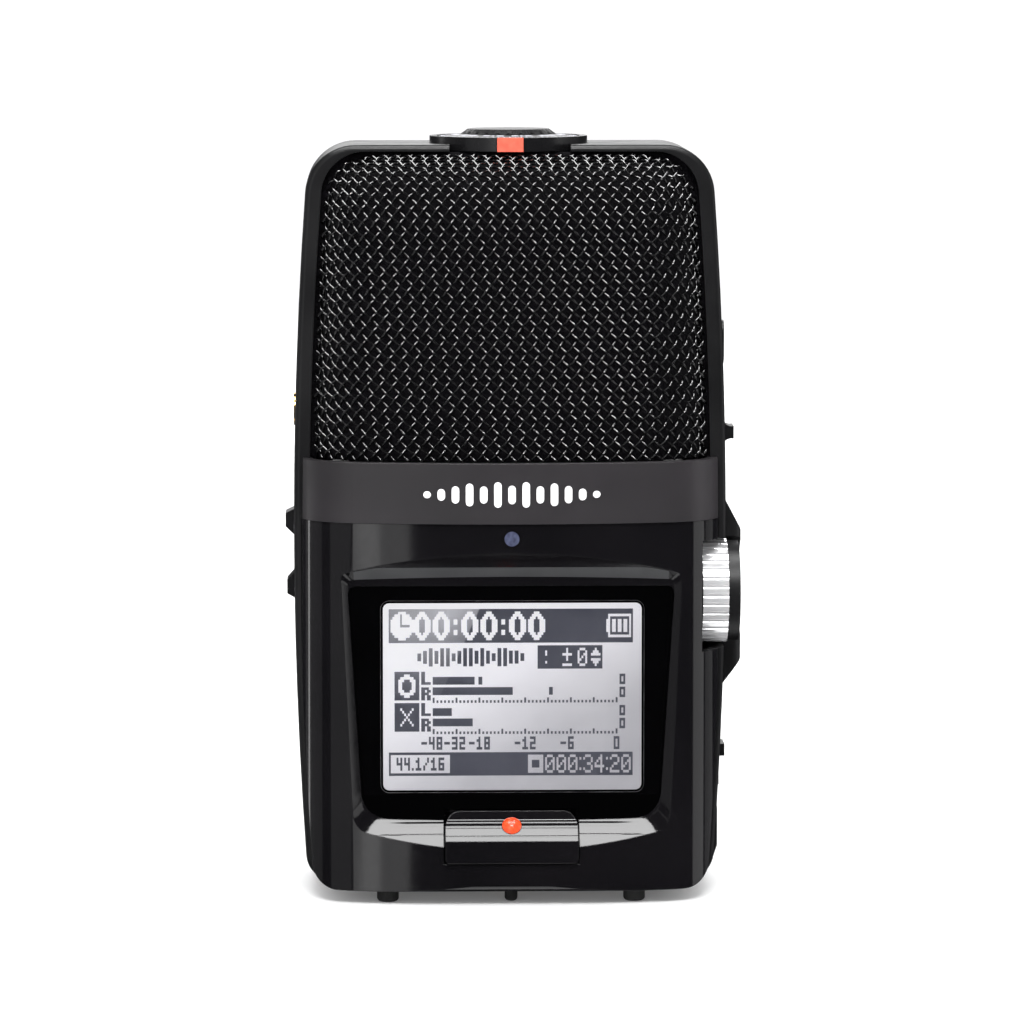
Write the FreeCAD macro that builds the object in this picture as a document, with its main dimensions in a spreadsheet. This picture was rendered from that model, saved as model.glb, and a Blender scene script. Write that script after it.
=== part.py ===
import FreeCAD, Part
import os

import Sketcher

# A handheld stereo voice recorder. Millimetres, +X to the right, +Y to the back and +Z up,
# with the origin on the table under the middle of the body.

document = FreeCAD.newDocument("voice_recorder")
sheet = document.addObject("Spreadsheet::Sheet", "dims")
Vector = FreeCAD.Vector
aliases = []
parts = {}


# ---- Dimensions: each one carries its value and the sheet expression that gives it ----


class Dim:
    """A number with the sheet expression that gives it. Sums and products keep both."""

    def __init__(self, value, text):
        self.value = value
        self.text = text

    def __add__(self, other):
        return combine(self, "+", other)

    def __radd__(self, other):
        return combine(other, "+", self)

    def __sub__(self, other):
        return combine(self, "-", other)

    def __rsub__(self, other):
        return combine(other, "-", self)

    def __mul__(self, other):
        return combine(self, "*", other)

    def __rmul__(self, other):
        return combine(other, "*", self)

    def __truediv__(self, other):
        return combine(self, "/", other)

    def __neg__(self):
        return combine(0, "-", self)


def dim(number):
    return number if isinstance(number, Dim) else Dim(float(number), str(number))


def combine(first, sign, second):
    first = dim(first)
    second = dim(second)
    values = {
        "+": lambda a, b: a + b,
        "-": lambda a, b: a - b,
        "*": lambda a, b: a * b,
        "/": lambda a, b: a / b,
    }
    return Dim(values[sign](first.value, second.value), f"({first.text} {sign} {second.text})")


def cell(alias, value, note):
    """A driving dimension: a row of the sheet with its note, its number and its alias."""
    aliases.append(alias)
    row = len(aliases)
    sheet.set(f"A{row}", note)
    sheet.set(f"B{row}", str(value))
    sheet.setAlias(f"B{row}", alias)
    return Dim(float(value), f"dims.{alias}")


def bind(thing, name, size):
    """Set a property of a thing and tie it to the sheet."""
    size = dim(size)
    setattr(thing, name, size.value)
    thing.setExpression(name, size.text)


def move(thing, x, y, z, axis=(0, 0, 1), angle=0):
    """Place a thing, turned by angle about axis, with its position tied to the sheet."""
    x, y, z = dim(x), dim(y), dim(z)
    turn = FreeCAD.Rotation(Vector(*axis), angle)
    thing.Placement = FreeCAD.Placement(Vector(x.value, y.value, z.value), turn)
    for name, size in (("x", x), ("y", y), ("z", z)):
        thing.setExpression(f"Placement.Base.{name}", size.text)
    return thing


# ---- Solids ----


def box(name, x, y, z):
    """A block between two limits along each axis."""
    block = document.addObject("Part::Box", name)
    for side, (low, high) in zip(("Length", "Width", "Height"), (x, y, z)):
        bind(block, side, dim(high) - low)
    return move(block, x[0], y[0], z[0])


def slab(name, half_width, y, z):
    """A block that is centred on x."""
    return box(name, (-dim(half_width), half_width), y, z)


TURNS = {"x": ((0, 1, 0), 90), "y": ((1, 0, 0), -90), "z": ((0, 0, 1), 0)}


def rod(name, radius, along, ends, centre):
    """A cylinder along one axis. Centre holds the other two coordinates, in x, y, z order."""
    cylinder = document.addObject("Part::Cylinder", name)
    bind(cylinder, "Radius", radius)
    bind(cylinder, "Height", dim(ends[1]) - ends[0])
    place = list(centre)
    place.insert("xyz".index(along), ends[0])
    return move(cylinder, *place, *TURNS[along])


def cone(name, low_radius, high_radius, ends, centre):
    """A frustum that stands along z."""
    frustum = document.addObject("Part::Cone", name)
    bind(frustum, "Radius1", low_radius)
    bind(frustum, "Radius2", high_radius)
    bind(frustum, "Height", dim(ends[1]) - ends[0])
    return move(frustum, centre[0], centre[1], ends[0])


def fuse(name, *things):
    joined = document.addObject("Part::MultiFuse", name)
    joined.Shapes = list(things)
    return joined


def group(name, *things):
    """Separate solids of one kind that are kept as one sub-part."""
    together = document.addObject("Part::Compound", name)
    together.Links = list(things)
    return together


def cut(name, base, *tools):
    result = document.addObject("Part::Cut", name)
    result.Base = base
    result.Tool = tools[0] if len(tools) == 1 else fuse(name + "_openings", *tools)
    return result


def common(name, first, second, *rest):
    """What all the things share."""
    result = document.addObject("Part::Common", name if not rest else f"{name}_{len(rest)}")
    result.Base = first
    result.Tool = second
    return common(name, result, *rest) if rest else result


def body(name):
    return document.addObject("PartDesign::Body", name)


def sketch(owner, role, height):
    """An empty sketch, lifted by height from one of the body's origin planes."""
    height = dim(height)
    drawing = owner.newObject("Sketcher::SketchObject", owner.Name + "_sketch")
    planes = {item.Role: item for item in owner.Origin.OriginFeatures}
    drawing.AttachmentSupport = (planes[role], [""])
    drawing.MapMode = "FlatFace"
    drawing.AttachmentOffset = FreeCAD.Placement(Vector(0, 0, height.value), FreeCAD.Rotation())
    drawing.setExpression("AttachmentOffset.Base.z", height.text)
    return drawing


def constrain(drawing, size, kind, *where):
    index = drawing.addConstraint(Sketcher.Constraint(kind, *where, size.value))
    drawing.setExpression(f"Constraints[{index}]", size.text)


def fix_point(drawing, index, end, point):
    """Hold one end of a line or arc at a point of the sketch."""
    for kind, axis, size in (("DistanceX", -2, point[0]), ("DistanceY", -1, point[1])):
        if abs(size.value) < 1e-9:
            drawing.addConstraint(Sketcher.Constraint("PointOnObject", index, end, axis))
        else:
            constrain(drawing, size, kind, -1, 1, index, end)


def draw(drawing, corners, bows=None):
    """A closed outline, anticlockwise. A bow is how far the side after that corner swells out."""
    corners = [(dim(x), dim(y)) for x, y in corners]
    bows = bows or {}
    ends = []
    for index, start in enumerate(corners):
        stop = corners[(index + 1) % len(corners)]
        first = Vector(start[0].value, start[1].value, 0)
        last = Vector(stop[0].value, stop[1].value, 0)
        if index in bows:
            bow = dim(bows[index])
            outward = Vector(last.y - first.y, first.x - last.x, 0).normalize()
            middle = (first + last) / 2 + outward * bow.value
            drawing.addGeometry(Part.Arc(first, middle, last), False)
            across = stop[0] - start[0]
            along = stop[1] - start[1]
            chord = across * across + along * along
            depth = bow if bow.value > 0 else -bow
            constrain(drawing, (chord / 4 + depth * depth) / (2 * depth), "Radius", index)
            ends.append((1, 2) if bow.value > 0 else (2, 1))
        else:
            drawing.addGeometry(Part.LineSegment(first, last), False)
            ends.append((1, 2))
    for index, start in enumerate(corners):
        after = (index + 1) % len(corners)
        joint = Sketcher.Constraint("Coincident", index, ends[index][1], after, ends[after][0])
        drawing.addConstraint(joint)
        fix_point(drawing, index, ends[index][0], start)


def pad(owner, drawing, length, taper=0):
    solid = owner.newObject("PartDesign::Pad", owner.Name + "_pad")
    solid.Profile = drawing
    bind(solid, "Length", length)
    if taper:
        bind(solid, "TaperAngle", taper)
    document.recompute([owner])
    return solid


PLANES = {"x": ("YZ_Plane", 1), "y": ("XZ_Plane", -1), "z": ("XY_Plane", 1)}


def prism(name, along, span, corners, bows=None, taper=0):
    """An outline drawn across one axis and padded along it, over a span of that axis."""
    role, sense = PLANES[along]
    owner = body(name)
    start = span[0] if sense > 0 else -dim(span[1])
    drawing = sketch(owner, role, start)
    draw(drawing, corners, bows)
    pad(owner, drawing, dim(span[1]) - span[0], taper)
    return owner


def turned(name, corners, bows=None):
    """A profile of radius and height, turned about z."""
    owner = body(name)
    drawing = sketch(owner, "XZ_Plane", 0)
    draw(drawing, corners, bows)
    solid = owner.newObject("PartDesign::Revolution", name + "_turn")
    solid.Profile = drawing
    solid.ReferenceAxis = (drawing, ["V_Axis"])
    solid.Angle = 360
    document.recompute([owner])
    return owner


def rounded(owner, name, radius, wanted):
    """Round the edges of a body whose middle passes the test."""
    base = owner.Tip
    names = [
        f"Edge{number}"
        for number, edge in enumerate(base.Shape.Edges, 1)
        if wanted(edge.CenterOfMass, edge)
    ]
    rounding = owner.newObject("PartDesign::Fillet", name)
    rounding.Base = (base, names)
    bind(rounding, "Radius", radius)
    document.recompute([owner])
    return owner


def runs_along(edge, axis):
    """Whether an edge is straight and parallel to an axis."""
    if edge.Curve.TypeId != "Part::GeomLine":
        return False
    return abs(abs(edge.Curve.Direction.dot(Vector(*axis))) - 1) < 1e-6


def keep(label, thing):
    """Name a finished sub-part and list it for writing."""
    thing.Label = label
    parts[label] = thing
    return thing


# ---- Driving dimensions ----

foot_height = cell("foot_height", 2.0, "table to the underside of the body")
body_top = cell("body_top", 110.75, "table to the top of the chassis")
foot_half = cell("foot_half", 29.85, "half the body width at the underside")
crest_half = cell("crest_half", 29.4, "half the body width at the top")
side_bow = cell("side_bow", 2.13, "swelling of each side over its height")
lower_round = cell("lower_round", 4.25, "lower corner radius, from the front")
upper_round = cell("upper_round", 7.4, "upper corner radius, from the front")
half_depth = cell("half_depth", 11.0, "half the depth of the chassis")
side_wall = cell("side_wall", 2.3, "chassis side wall")
end_wall = cell("end_wall", 1.0, "chassis top and bottom wall")
edge_round = cell("edge_round", 0.8, "rounding of the chassis edges")
skin = cell("skin", 1.5, "wall of the moulded shells")
body_reach = cell("body_reach", 20.9, "centre of the body to the front of a shell")
band_reach = cell("band_reach", 21.35, "centre of the body to the front of a band")
grille_reach = cell("grille_reach", 20.3, "centre of the body to the foot of a grille")
cap_half = cell("cap_half", 31.0, "half the width that the front bulge is drawn over")
cap_bow = cell("cap_bow", 4.4, "swelling of the front and back over the width")
cap_round = cell("cap_round", 10.0, "rounding of the front and back to the sides")
shell_inset = cell("shell_inset", 0.9, "step from the chassis in to the shells")
shell_tighter = cell("shell_tighter", 0.5, "how much tighter than the chassis's the shells' corners are")
shell_round = cell("shell_round", 1.6, "rounding under the shells")
band_inset = cell("band_inset", 1.3, "step from the chassis in to the bands")
band_low = cell("band_low", 56.15, "underside of the bands")
band_high = cell("band_high", 65.0, "top of the bands")
mesh_gap = cell("mesh_gap", 0.1, "gap between a grille and what it sits in or on")
mesh_tighter = cell("mesh_tighter", 1.7, "how much tighter than the chassis's the grilles' corners are")
mesh_wall = cell("mesh_wall", 0.8, "thickness of a grille")
liner_wall = cell("liner_wall", 0.6, "thickness of a grille's cloth liner")
grille_lean = cell("grille_lean", 1.1, "how far a grille leans back over its height")
grille_round = cell("grille_round", 9.0, "rounding over the top of a grille")
gap = cell("gap", 0.2, "clearance around parts that move")
fit = cell("fit", 0.05, "running clearance around pins and shafts")
hairline = cell("hairline", 0.1, "clearance between flat faces")
seat_gap = cell("seat_gap", 0.02, "clearance around parts that are held fast")
board = cell("board", 1.2, "circuit board thickness")


def face(height):
    """The distance from the middle to the outside of the side wall, at a height."""
    above = height - foot_height
    span = body_top - foot_height
    straight = foot_half + (crest_half - foot_half) * above / span
    return straight + 4 * side_bow * above * (span - above) / (span * span)


# ---- Envelopes that the housing parts are cut from ----


def front_view(name, inset, drop, depth, tighter):
    """The body's outline from the front, stepped in, as a block through the depth.

    Its corner radii are smaller than the chassis's by tighter."""
    low = foot_height + drop
    high = body_top - drop
    lower = foot_half - inset
    upper = crest_half - inset
    block = prism(
        name,
        "y",
        (-dim(depth), depth),
        [(-lower, low), (lower, low), (upper, high), (-upper, high)],
        {1: side_bow, 3: side_bow},
    )
    middle = (low.value + high.value) / 2

    def upright(point, edge, top):
        return runs_along(edge, (0, 1, 0)) and (point.z > middle) == top

    rounded(block, name + "_feet", lower_round - tighter, lambda p, e: upright(p, e, False))
    return rounded(block, name + "_crown", upper_round - tighter, lambda p, e: upright(p, e, True))


def plan_view(name, side, half, reach, corner):
    """The bulge of the front or back from above, as a column over the whole height."""
    shoulder = reach - cap_bow
    depth = side * shoulder
    corners = [(-half, 0), (half, 0), (half, depth), (-half, depth)]
    order = corners if side > 0 else corners[::-1]
    column = prism(name, "z", (0, body_top + 4), order, {2 if side > 0 else 0: cap_bow})
    return rounded(
        column,
        name + "_edges",
        corner,
        lambda p, e: runs_along(e, (0, 0, 1)) and abs(p.y) > 1,
    )


def side_view(name, side, reach, lean, low, high, corner, at_top):
    """A bulge from the side: it leans back to the top and is rounded at one end."""
    corners = [
        (0, low),
        (side * reach, low),
        (side * (reach - lean), high),
        (0, high),
    ]
    order = corners if side > 0 else corners[::-1]
    limit = cap_half + 2
    wedge = prism(name, "x", (-limit, limit), order)
    middle = (dim(low).value + dim(high).value) / 2
    return rounded(
        wedge,
        name + "_edge",
        corner,
        lambda p, e: runs_along(e, (1, 0, 0)) and abs(p.y) > 1 and (p.z > middle) == at_top,
    )


def window(name, side, start, low, high):
    """The space in front of or behind the body, from start outwards, between two heights."""
    stop = band_reach + 5
    y = (start, stop) if side > 0 else (-stop, -dim(start))
    return slab(name, cap_half + 8, y, (low, high))


outline = front_view("outline", 0, 0, half_depth, 0)
outline = rounded(outline, "outline_rims", edge_round, lambda p, e: abs(abs(p.y) - half_depth.value) < 1e-3)
hollow = front_view("hollow", side_wall, end_wall, half_depth + 1, end_wall)
full_depth = band_reach + 2
shell_front_view = front_view("shell_front_view", shell_inset, 0, full_depth, shell_tighter)
shell_inner_view = front_view("shell_inner_view", shell_inset + skin, skin, full_depth, skin)
band_front_view = front_view("band_front_view", band_inset, 0, full_depth, shell_tighter)
band_inner_view = front_view("band_inner_view", band_inset + skin, skin, full_depth, skin)
mesh_inset = side_wall + mesh_gap
mesh_drop = end_wall + mesh_gap
liner_depth = mesh_wall + mesh_gap
mesh_depths = (dim(0), mesh_wall, liner_depth, liner_depth + liner_wall)
grille_views = [
    front_view(
        f"grille_view_{step}", mesh_inset + depth, mesh_drop + depth, full_depth, mesh_tighter + depth
    )
    for step, depth in enumerate(mesh_depths)
]


def shell_blank(name, side, low, high, proud, outer_view, inner_view):
    """A bulged shell that is open to the chassis: its outside and its inside."""
    reach = body_reach + proud
    outside = common(
        name + "_outside",
        outer_view,
        plan_view(name + "_outer_plan", side, cap_half, reach, cap_round),
        side_view(name + "_outer_side", side, reach, 0, foot_height, body_top, shell_round, False),
        window(name + "_outer_window", side, half_depth, low, high),
    )
    inside = common(
        name + "_inside",
        inner_view,
        plan_view(name + "_inner_plan", side, cap_half - skin, reach - skin, cap_round - skin),
        window(name + "_inner_window", side, half_depth - 1, low - 5, high + 5),
    )
    return outside, inside


# ---- Chassis: the arch-shaped middle frame ----

screw_x = cell("screw_x", 25.2, "case screws from the middle")
screw_rows = (
    cell("screw_low", 8.0, "lower case screws above the table"),
    cell("screw_high", 60.5, "upper case screws above the table"),
)
boss_radius = cell("boss_radius", 2.5, "chassis screw boss")
boss_start = cell("boss_start", 3.0, "front of the chassis screw bosses")
boss_rib = cell("boss_rib", 1.0, "half the thickness of a boss's rib, and its bite in the side wall")
shank_radius = cell("shank_radius", 0.95, "case screw shank")
head_radius = cell("head_radius", 1.9, "case screw head")
head_seat = cell("head_seat", 13.2, "depth of the case screws' seats")
head_thick = cell("head_thick", 1.3, "case screw head thickness")
socket_radius = cell("socket_radius", 0.8, "driver socket in a case screw")
socket_depth = cell("socket_depth", 0.8, "depth of the driver socket")

bezel_radius = cell("bezel_radius", 11.65, "mode dial bezel")
notch_half = cell("notch_half", 8.85, "half the front gap in the arch for the dial")
notch_depth = cell("notch_depth", 3.4, "depth of the front gap in the arch")

gain_y = cell("gain_y", -7.5, "gain wheel centre, front to back")
gain_z = cell("gain_z", 44.9, "gain wheel centre above the table")
gain_radius = cell("gain_radius", 7.6, "gain wheel")
gain_inner = cell("gain_inner", 28.2, "inner face of the gain wheel")
gain_outer = cell("gain_outer", 32.0, "joint between the gain wheel and its cap")
gain_cap_outer = cell("gain_cap_outer", 33.7, "outer face of the gain wheel's cap")
gain_room = cell("gain_room", 0.5, "room around the gain wheel")
gain_behind = cell("gain_behind", 1.5, "room behind the gain wheel")
guard_out = cell("guard_out", 34.4, "outermost face of the gain wheel's guard")
guard_low = cell("guard_low", 34.2, "lower edge of the guard's crest")
guard_high = cell("guard_high", 53.6, "upper edge of the guard's crest")
guard_setback = cell("guard_setback", 2.5, "front of the guard behind the wheel's axis, and its back's step")
guard_root = cell("guard_root", 1.6, "how deep the guard's slopes start in the side wall")
guard_run_low = cell("guard_run_low", 5.9, "height of the guard's lower slope")
guard_run_high = cell("guard_run_high", 8.0, "height of the guard's upper slope")
guard_round = cell("guard_round", 1.4, "rounding of the guard's crest")

rocker_z = cell("rocker_z", 50.0, "volume rocker's pivot above the table")
rocker_half = cell("rocker_half", 6.8, "half the volume rocker's height")
rocker_y = cell("rocker_y", 2.5, "half the width of the side keys")
rocker_pivot = cell("rocker_pivot", 28.2, "volume rocker's pivot from the middle")
rocker_out = cell("rocker_out", 33.1, "outermost point of the volume rocker")
pin_radius = cell("pin_radius", 0.7, "pivot pins")
pivot_half = cell("pivot_half", 1.5, "half the height of the eyes around the pivot pins")
lug_gap = cell("lug_gap", 0.5, "gap between the volume rocker and its lugs")
pin_reach = cell("pin_reach", 1.7, "how far the volume rocker's pin goes past the rocker on each side")

menu_z = cell("menu_z", 81.2, "menu button centre above the table")
menu_half = cell("menu_half", 3.2, "half the menu button's height")
menu_proud = cell("menu_proud", 0.7, "how far the menu button stands out")

play_z = cell("play_z", 67.85, "play lever centre above the table")
play_half = cell("play_half", 3.45, "half the play lever's height")
play_pivot = cell("play_pivot", 27.6, "play lever's pivot from the middle")
play_swing = cell("play_swing", 0.55, "room for the play lever to tilt")

power_z = cell("power_z", 20.3, "power slider centre above the table")
power_half = cell("power_half", 5.2, "half the power slider's height")
power_travel = cell("power_travel", 2.0, "power slider's travel each way")
power_floor = cell("power_floor", 29.9, "floor of the power slider's track")
power_tongue_y = cell("power_tongue_y", 1.0, "half the width of the power slider's tongue")
power_tongue_z = cell("power_tongue_z", 0.9, "half the height of the power slider's tongue")

card_door_pin_x = cell("card_door_pin_x", 29.0, "card door pin from the middle")
card_door_pin_z = cell("card_door_pin_z", 5.3, "card door pin above the table")
card_door_top = cell("card_door_top", 12.8, "top of the card door")
card_door_y = (
    cell("card_door_front", -9.4, "front end of the card door"),
    cell("card_door_back", 6.4, "back end of the card door"),
)
door_pin_radius = cell("door_pin_radius", 0.45, "card door pin")
door_barrel = cell("door_barrel", 1.1, "card door hinge barrel")
door_pin_reach = cell("door_pin_reach", 1.2, "how far the card door's pin goes past the door")

line_z = cell("line_z", 71.3, "line input jack above the table")
phones_z = cell("phones_z", 29.1, "headphone jack above the table")
usb_z = cell("usb_z", 14.0, "USB port above the table")
jack_ring = cell("jack_ring", 2.4, "outside of the jacks' rings")
usb_half = cell("usb_half", 4.1, "half the USB port's height")
usb_y = cell("usb_y", 2.1, "half the USB port's width")

tripod_y = cell("tripod_y", -4.5, "tripod bushing, front to back")
tripod_radius = cell("tripod_radius", 4.2, "outside of the tripod bushing")

far = cap_half + 8


def side_slot(name, side, y, z):
    """A slot through one side wall."""
    x = (20, far) if side > 0 else (-far, -20)
    return box(name, x, y, z)


def screw_bosses():
    """Four bosses for the case screws, each ribbed to its side wall."""
    solids = []
    for row, height in enumerate(screw_rows):
        for side in (-1, 1):
            x = side * screw_x
            wall = side * (face(height) - boss_rib)
            name = f"boss_{row}_{'left' if side < 0 else 'right'}"
            solids.append(rod(name, boss_radius, "y", (boss_start, half_depth), (x, height)))
            span = (x, wall) if side > 0 else (wall, x)
            rib_z = (height - boss_rib, height + boss_rib)
            solids.append(box(name + "_rib", span, (boss_start, half_depth), rib_z))
    return solids


def screw_holes(name, radius, ends):
    """Holes on the four case screws' axes."""
    return [
        rod(f"{name}_{row}_{side + 1}", radius, "y", ends, (side * screw_x, height))
        for row, height in enumerate(screw_rows)
        for side in (-1, 1)
    ]


def pivot_lugs():
    """Two lugs inside the left wall that hold the volume rocker's pin."""
    lug_y = (rocker_y + lug_gap, rocker_y + pin_reach)
    return [
        box(
            f"rocker_lug_{side + 1}",
            (-(face(rocker_z) - boss_rib), -(rocker_pivot - pivot_half)),
            lug_y if side > 0 else (-lug_y[1], -lug_y[0]),
            (rocker_z - pivot_half, rocker_z + pivot_half),
        )
        for side in (-1, 1)
    ]


guard = prism(
    "guard",
    "y",
    (gain_y + guard_setback, half_depth - guard_setback),
    [
        (face(guard_low) - guard_root, guard_low - guard_run_low),
        (guard_out, guard_low),
        (guard_out, guard_high),
        (face(guard_high) - guard_root, guard_high + guard_run_high),
    ],
)
guard = rounded(guard, "guard_edges", guard_round, lambda p, e: p.x > face(guard_high).value + 1)
gain_well_radius = gain_radius + gain_room
chassis_ring = cut("chassis_ring", outline, hollow)
chassis_solid = fuse("chassis_solid", chassis_ring, guard, *screw_bosses(), *pivot_lugs())
gain_well = fuse(
    "gain_well",
    rod("gain_well_round", gain_well_radius, "x", (gain_inner - gain_behind, far), (gain_y, gain_z)),
    box(
        "gain_well_front",
        (gain_inner - gain_behind, far),
        (-band_reach, gain_y),
        (gain_z - gain_well_radius, gain_z + gain_well_radius),
    ),
)
chassis = cut(
    "chassis",
    chassis_solid,
    rod("bezel_hole", bezel_radius + seat_gap, "z", (body_top - 3, body_top + 2), (0, 0)),
    slab(
        "arch_notch",
        notch_half,
        (-half_depth - 2, notch_depth - half_depth),
        (body_top - 3, body_top + 2),
    ),
    gain_well,
    side_slot(
        "rocker_slot",
        -1,
        (-rocker_y - gap, rocker_y + gap),
        (rocker_z - rocker_half - 2 * gap, rocker_z + rocker_half + 2 * gap),
    ),
    side_slot(
        "menu_slot",
        1,
        (-rocker_y - gap, rocker_y + gap),
        (menu_z - menu_half - gap, menu_z + menu_half + gap),
    ),
    side_slot(
        "play_slot",
        1,
        (-rocker_y - gap, rocker_y + gap),
        (play_z - play_half - play_swing, play_z + play_half + play_swing),
    ),
    box(
        "power_track",
        (power_floor, far),
        (-rocker_y - gap, rocker_y + gap),
        (power_z - power_half - power_travel - gap, power_z + power_half + power_travel + gap),
    ),
    side_slot(
        "power_slot",
        1,
        (-power_tongue_y - gap, power_tongue_y + gap),
        (power_z - power_tongue_z - gap - power_travel, power_z + power_tongue_z + gap + power_travel),
    ),
    side_slot(
        "card_slot",
        1,
        (card_door_y[0] - gap, card_door_y[1] + gap),
        (card_door_pin_z - door_barrel - gap, card_door_top + gap),
    ),
    rod(
        "card_pin_hole",
        door_pin_radius,
        "y",
        (card_door_y[0] - door_pin_reach, card_door_y[1] + door_pin_reach),
        (card_door_pin_x, card_door_pin_z),
    ),
    rod("line_hole", jack_ring, "x", (-far, -20), (0, line_z)),
    rod("phones_hole", jack_ring, "x", (-far, -20), (0, phones_z)),
    side_slot("usb_hole", -1, (-usb_y, usb_y), (usb_z - usb_half, usb_z + usb_half)),
    rod("tripod_hole", tripod_radius, "z", (foot_height - 1, foot_height + 4), (0, tripod_y)),
    rod(
        "rocker_pin_hole",
        pin_radius,
        "y",
        (-rocker_y - pin_reach, rocker_y + pin_reach),
        (-rocker_pivot, rocker_z),
    ),
    *screw_holes("boss_hole", shank_radius, (boss_start + 1, half_depth + 1)),
)
keep("chassis", chassis)

# ---- Front shell with its window recess ----

window_plane = cell("window_plane", 17.0, "centre of the body to the display window")
glass_thick = cell("glass_thick", 1.2, "display window")
floor_wall = cell("floor_wall", 1.5, "recess floor behind the display window")
recess_low = cell("recess_low", 12.5, "lower end of the recess floor")
recess_high = cell("recess_high", 47.6, "upper end of the recess floor's sides")
recess_foot = cell("recess_foot", 21.7, "half the recess floor's width at its lower end")
recess_crest = cell("recess_crest", 23.9, "half the recess floor's width at its upper end")
recess_slope = cell("recess_slope", 45.0, "slope of the recess's rim, in degrees")
recess_bow = cell("recess_bow", 0.4, "swelling of the recess's upper and lower ends")
recess_lower_round = cell("recess_lower_round", 4.0, "lower corner radius of the recess floor")
recess_upper_round = cell("recess_upper_round", 1.2, "upper corner radius of the recess floor")
glass_high = cell("glass_high", 46.7, "upper edge of the display window")
view_half = cell("view_half", 19.6, "half the display opening's width")
view_low = cell("view_low", 15.9, "lower edge of the display opening")
view_high = cell("view_high", 44.9, "upper edge of the display opening")
record_half = cell("record_half", 9.7, "half the record button's width")
record_low = cell("record_low", 6.4, "lower edge of the record button")
record_high = cell("record_high", 13.6, "upper edge of the record button")
record_fold = cell("record_fold", 9.7, "fold between the record button's facets")
record_reach = cell("record_reach", 21.4, "centre of the body to the record button's face")
record_back = cell("record_back", 17.6, "centre of the body to the top of its upper facet")
record_room = cell("record_room", 0.2, "gap around the record button")
led_z = cell("led_z", 54.0, "status light above the table")
led_radius = cell("led_radius", 1.08, "status light")


def recess_block(name, shrink, y, upper, upper_bow, taper=0):
    """The recess's outline from the front, over a span of the depth, with rounded corners."""
    low = recess_low + shrink
    foot = recess_foot - shrink
    crest = recess_crest - shrink
    block = prism(
        name,
        "y",
        y,
        [(-foot, low), (foot, low), (crest, upper), (-crest, upper)],
        {0: recess_bow, 2: upper_bow} if upper_bow else {0: recess_bow},
        taper,
    )
    middle = (low.value + upper.value) / 2

    def corner(edge, point, top):
        ends = [vertex.Point.y for vertex in edge.Vertexes]
        return abs(ends[0] - ends[-1]) > 0.5 and (point.z > middle) == top

    rounded(block, name + "_feet", recess_lower_round - shrink, lambda p, e: corner(e, p, False))
    return rounded(block, name + "_crown", recess_upper_round, lambda p, e: corner(e, p, True))


recess = recess_block(
    "recess",
    0,
    (-window_plane - 6, -window_plane),
    recess_high,
    recess_bow,
    recess_slope,
)
seat_span = (-window_plane - 1, glass_thick - window_plane)
glass_seat = recess_block("glass_seat", 0, seat_span, glass_high, None)

shell_outside, shell_inside = shell_blank(
    "front_shell", -1, foot_height, band_low, 0, shell_front_view, shell_inner_view
)
floor_back = glass_thick + floor_wall - window_plane
backing = common(
    "front_shell_backing",
    shell_outside,
    slab("backing_block", recess_crest + 2, (-band_reach, floor_back), (foot_height, recess_high + 4)),
)
record_opening = slab(
    "record_opening",
    record_half + record_room,
    (-band_reach - 2, floor_back + 1),
    (record_low - record_room, record_high + record_room),
)
front_shell = cut(
    "front_shell",
    fuse("front_shell_solid", cut("front_shell_skin", shell_outside, shell_inside), backing),
    recess,
    glass_seat,
    slab("view_opening", view_half, (-window_plane, floor_back + 1), (view_low, view_high)),
    record_opening,
    rod("led_opening", led_radius, "y", (-band_reach - 2, -half_depth), (0, led_z)),
    box(
        "gain_opening",
        (gain_inner - gap, far),
        (-band_reach, 0),
        (gain_z - gain_well_radius, gain_z + gain_well_radius),
    ),
)
keep("front_shell", front_shell)

# ---- Bands between the shells and the grilles ----

speaker_slots = cell("speaker_slots", 5, "slots in front of the speaker")
slot_width = cell("slot_width", 1.2, "width of a speaker slot")
slot_half = cell("slot_half", 2.8, "half the height of a speaker slot")
slot_pitch = cell("slot_pitch", 2.6, "spacing of the speaker slots")
band_middle = (band_low + band_high) / 2


def band(name, side, *openings):
    """A wrap-around band, slightly proud of the shells."""
    outside, inside = shell_blank(
        name, side, band_low, band_high, band_reach - body_reach, band_front_view, band_inner_view
    )
    if openings:
        return cut(name, outside, inside, *openings)
    return cut(name, outside, inside)


def slot(index):
    """One speaker slot, counted from the middle."""
    middle = slot_pitch * index
    return box(
        f"speaker_slot_{index + 2}",
        (middle - slot_width / 2, middle + slot_width / 2),
        (half_depth, band_reach + 2),
        (band_middle - slot_half, band_middle + slot_half),
    )


slot_reach = int(speaker_slots.value) // 2
keep("front_band", band("front_band", -1))
keep("rear_band", band("rear_band", 1, *[slot(index) for index in range(-slot_reach, slot_reach + 1)]))

# ---- Rear shell, battery door and battery tray ----

door_half = cell("door_half", 17.0, "half the battery door's width")
door_top = cell("door_top", 54.1, "top of the battery door")
door_lip = cell("door_lip", 17.6, "front edge of the battery door's lip")
rail_half = cell("rail_half", 18.4, "half the width across the battery door's rails")
rail_y = (
    cell("rail_front", 16.7, "front face of the battery door's rails"),
    cell("rail_back", 17.4, "back face of the battery door's rails"),
)
rail_z = (
    cell("rail_low", 9.0, "lower end of the battery door's rails"),
    cell("rail_high", 48.0, "upper end of the battery door's rails"),
)
grip_ridges = cell("grip_ridges", 5, "grip ridges on the battery door")
grip_half = cell("grip_half", 7.0, "half the width of a grip ridge")
grip_low = cell("grip_low", 40.5, "lowest grip ridge above the table")
grip_pitch = cell("grip_pitch", 2.2, "spacing of the grip ridges")
grip_radius = cell("grip_radius", 0.55, "radius of a grip ridge")
grip_sink = cell("grip_sink", 0.25, "how far a grip ridge's axis lies inside the door's face")

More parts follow.
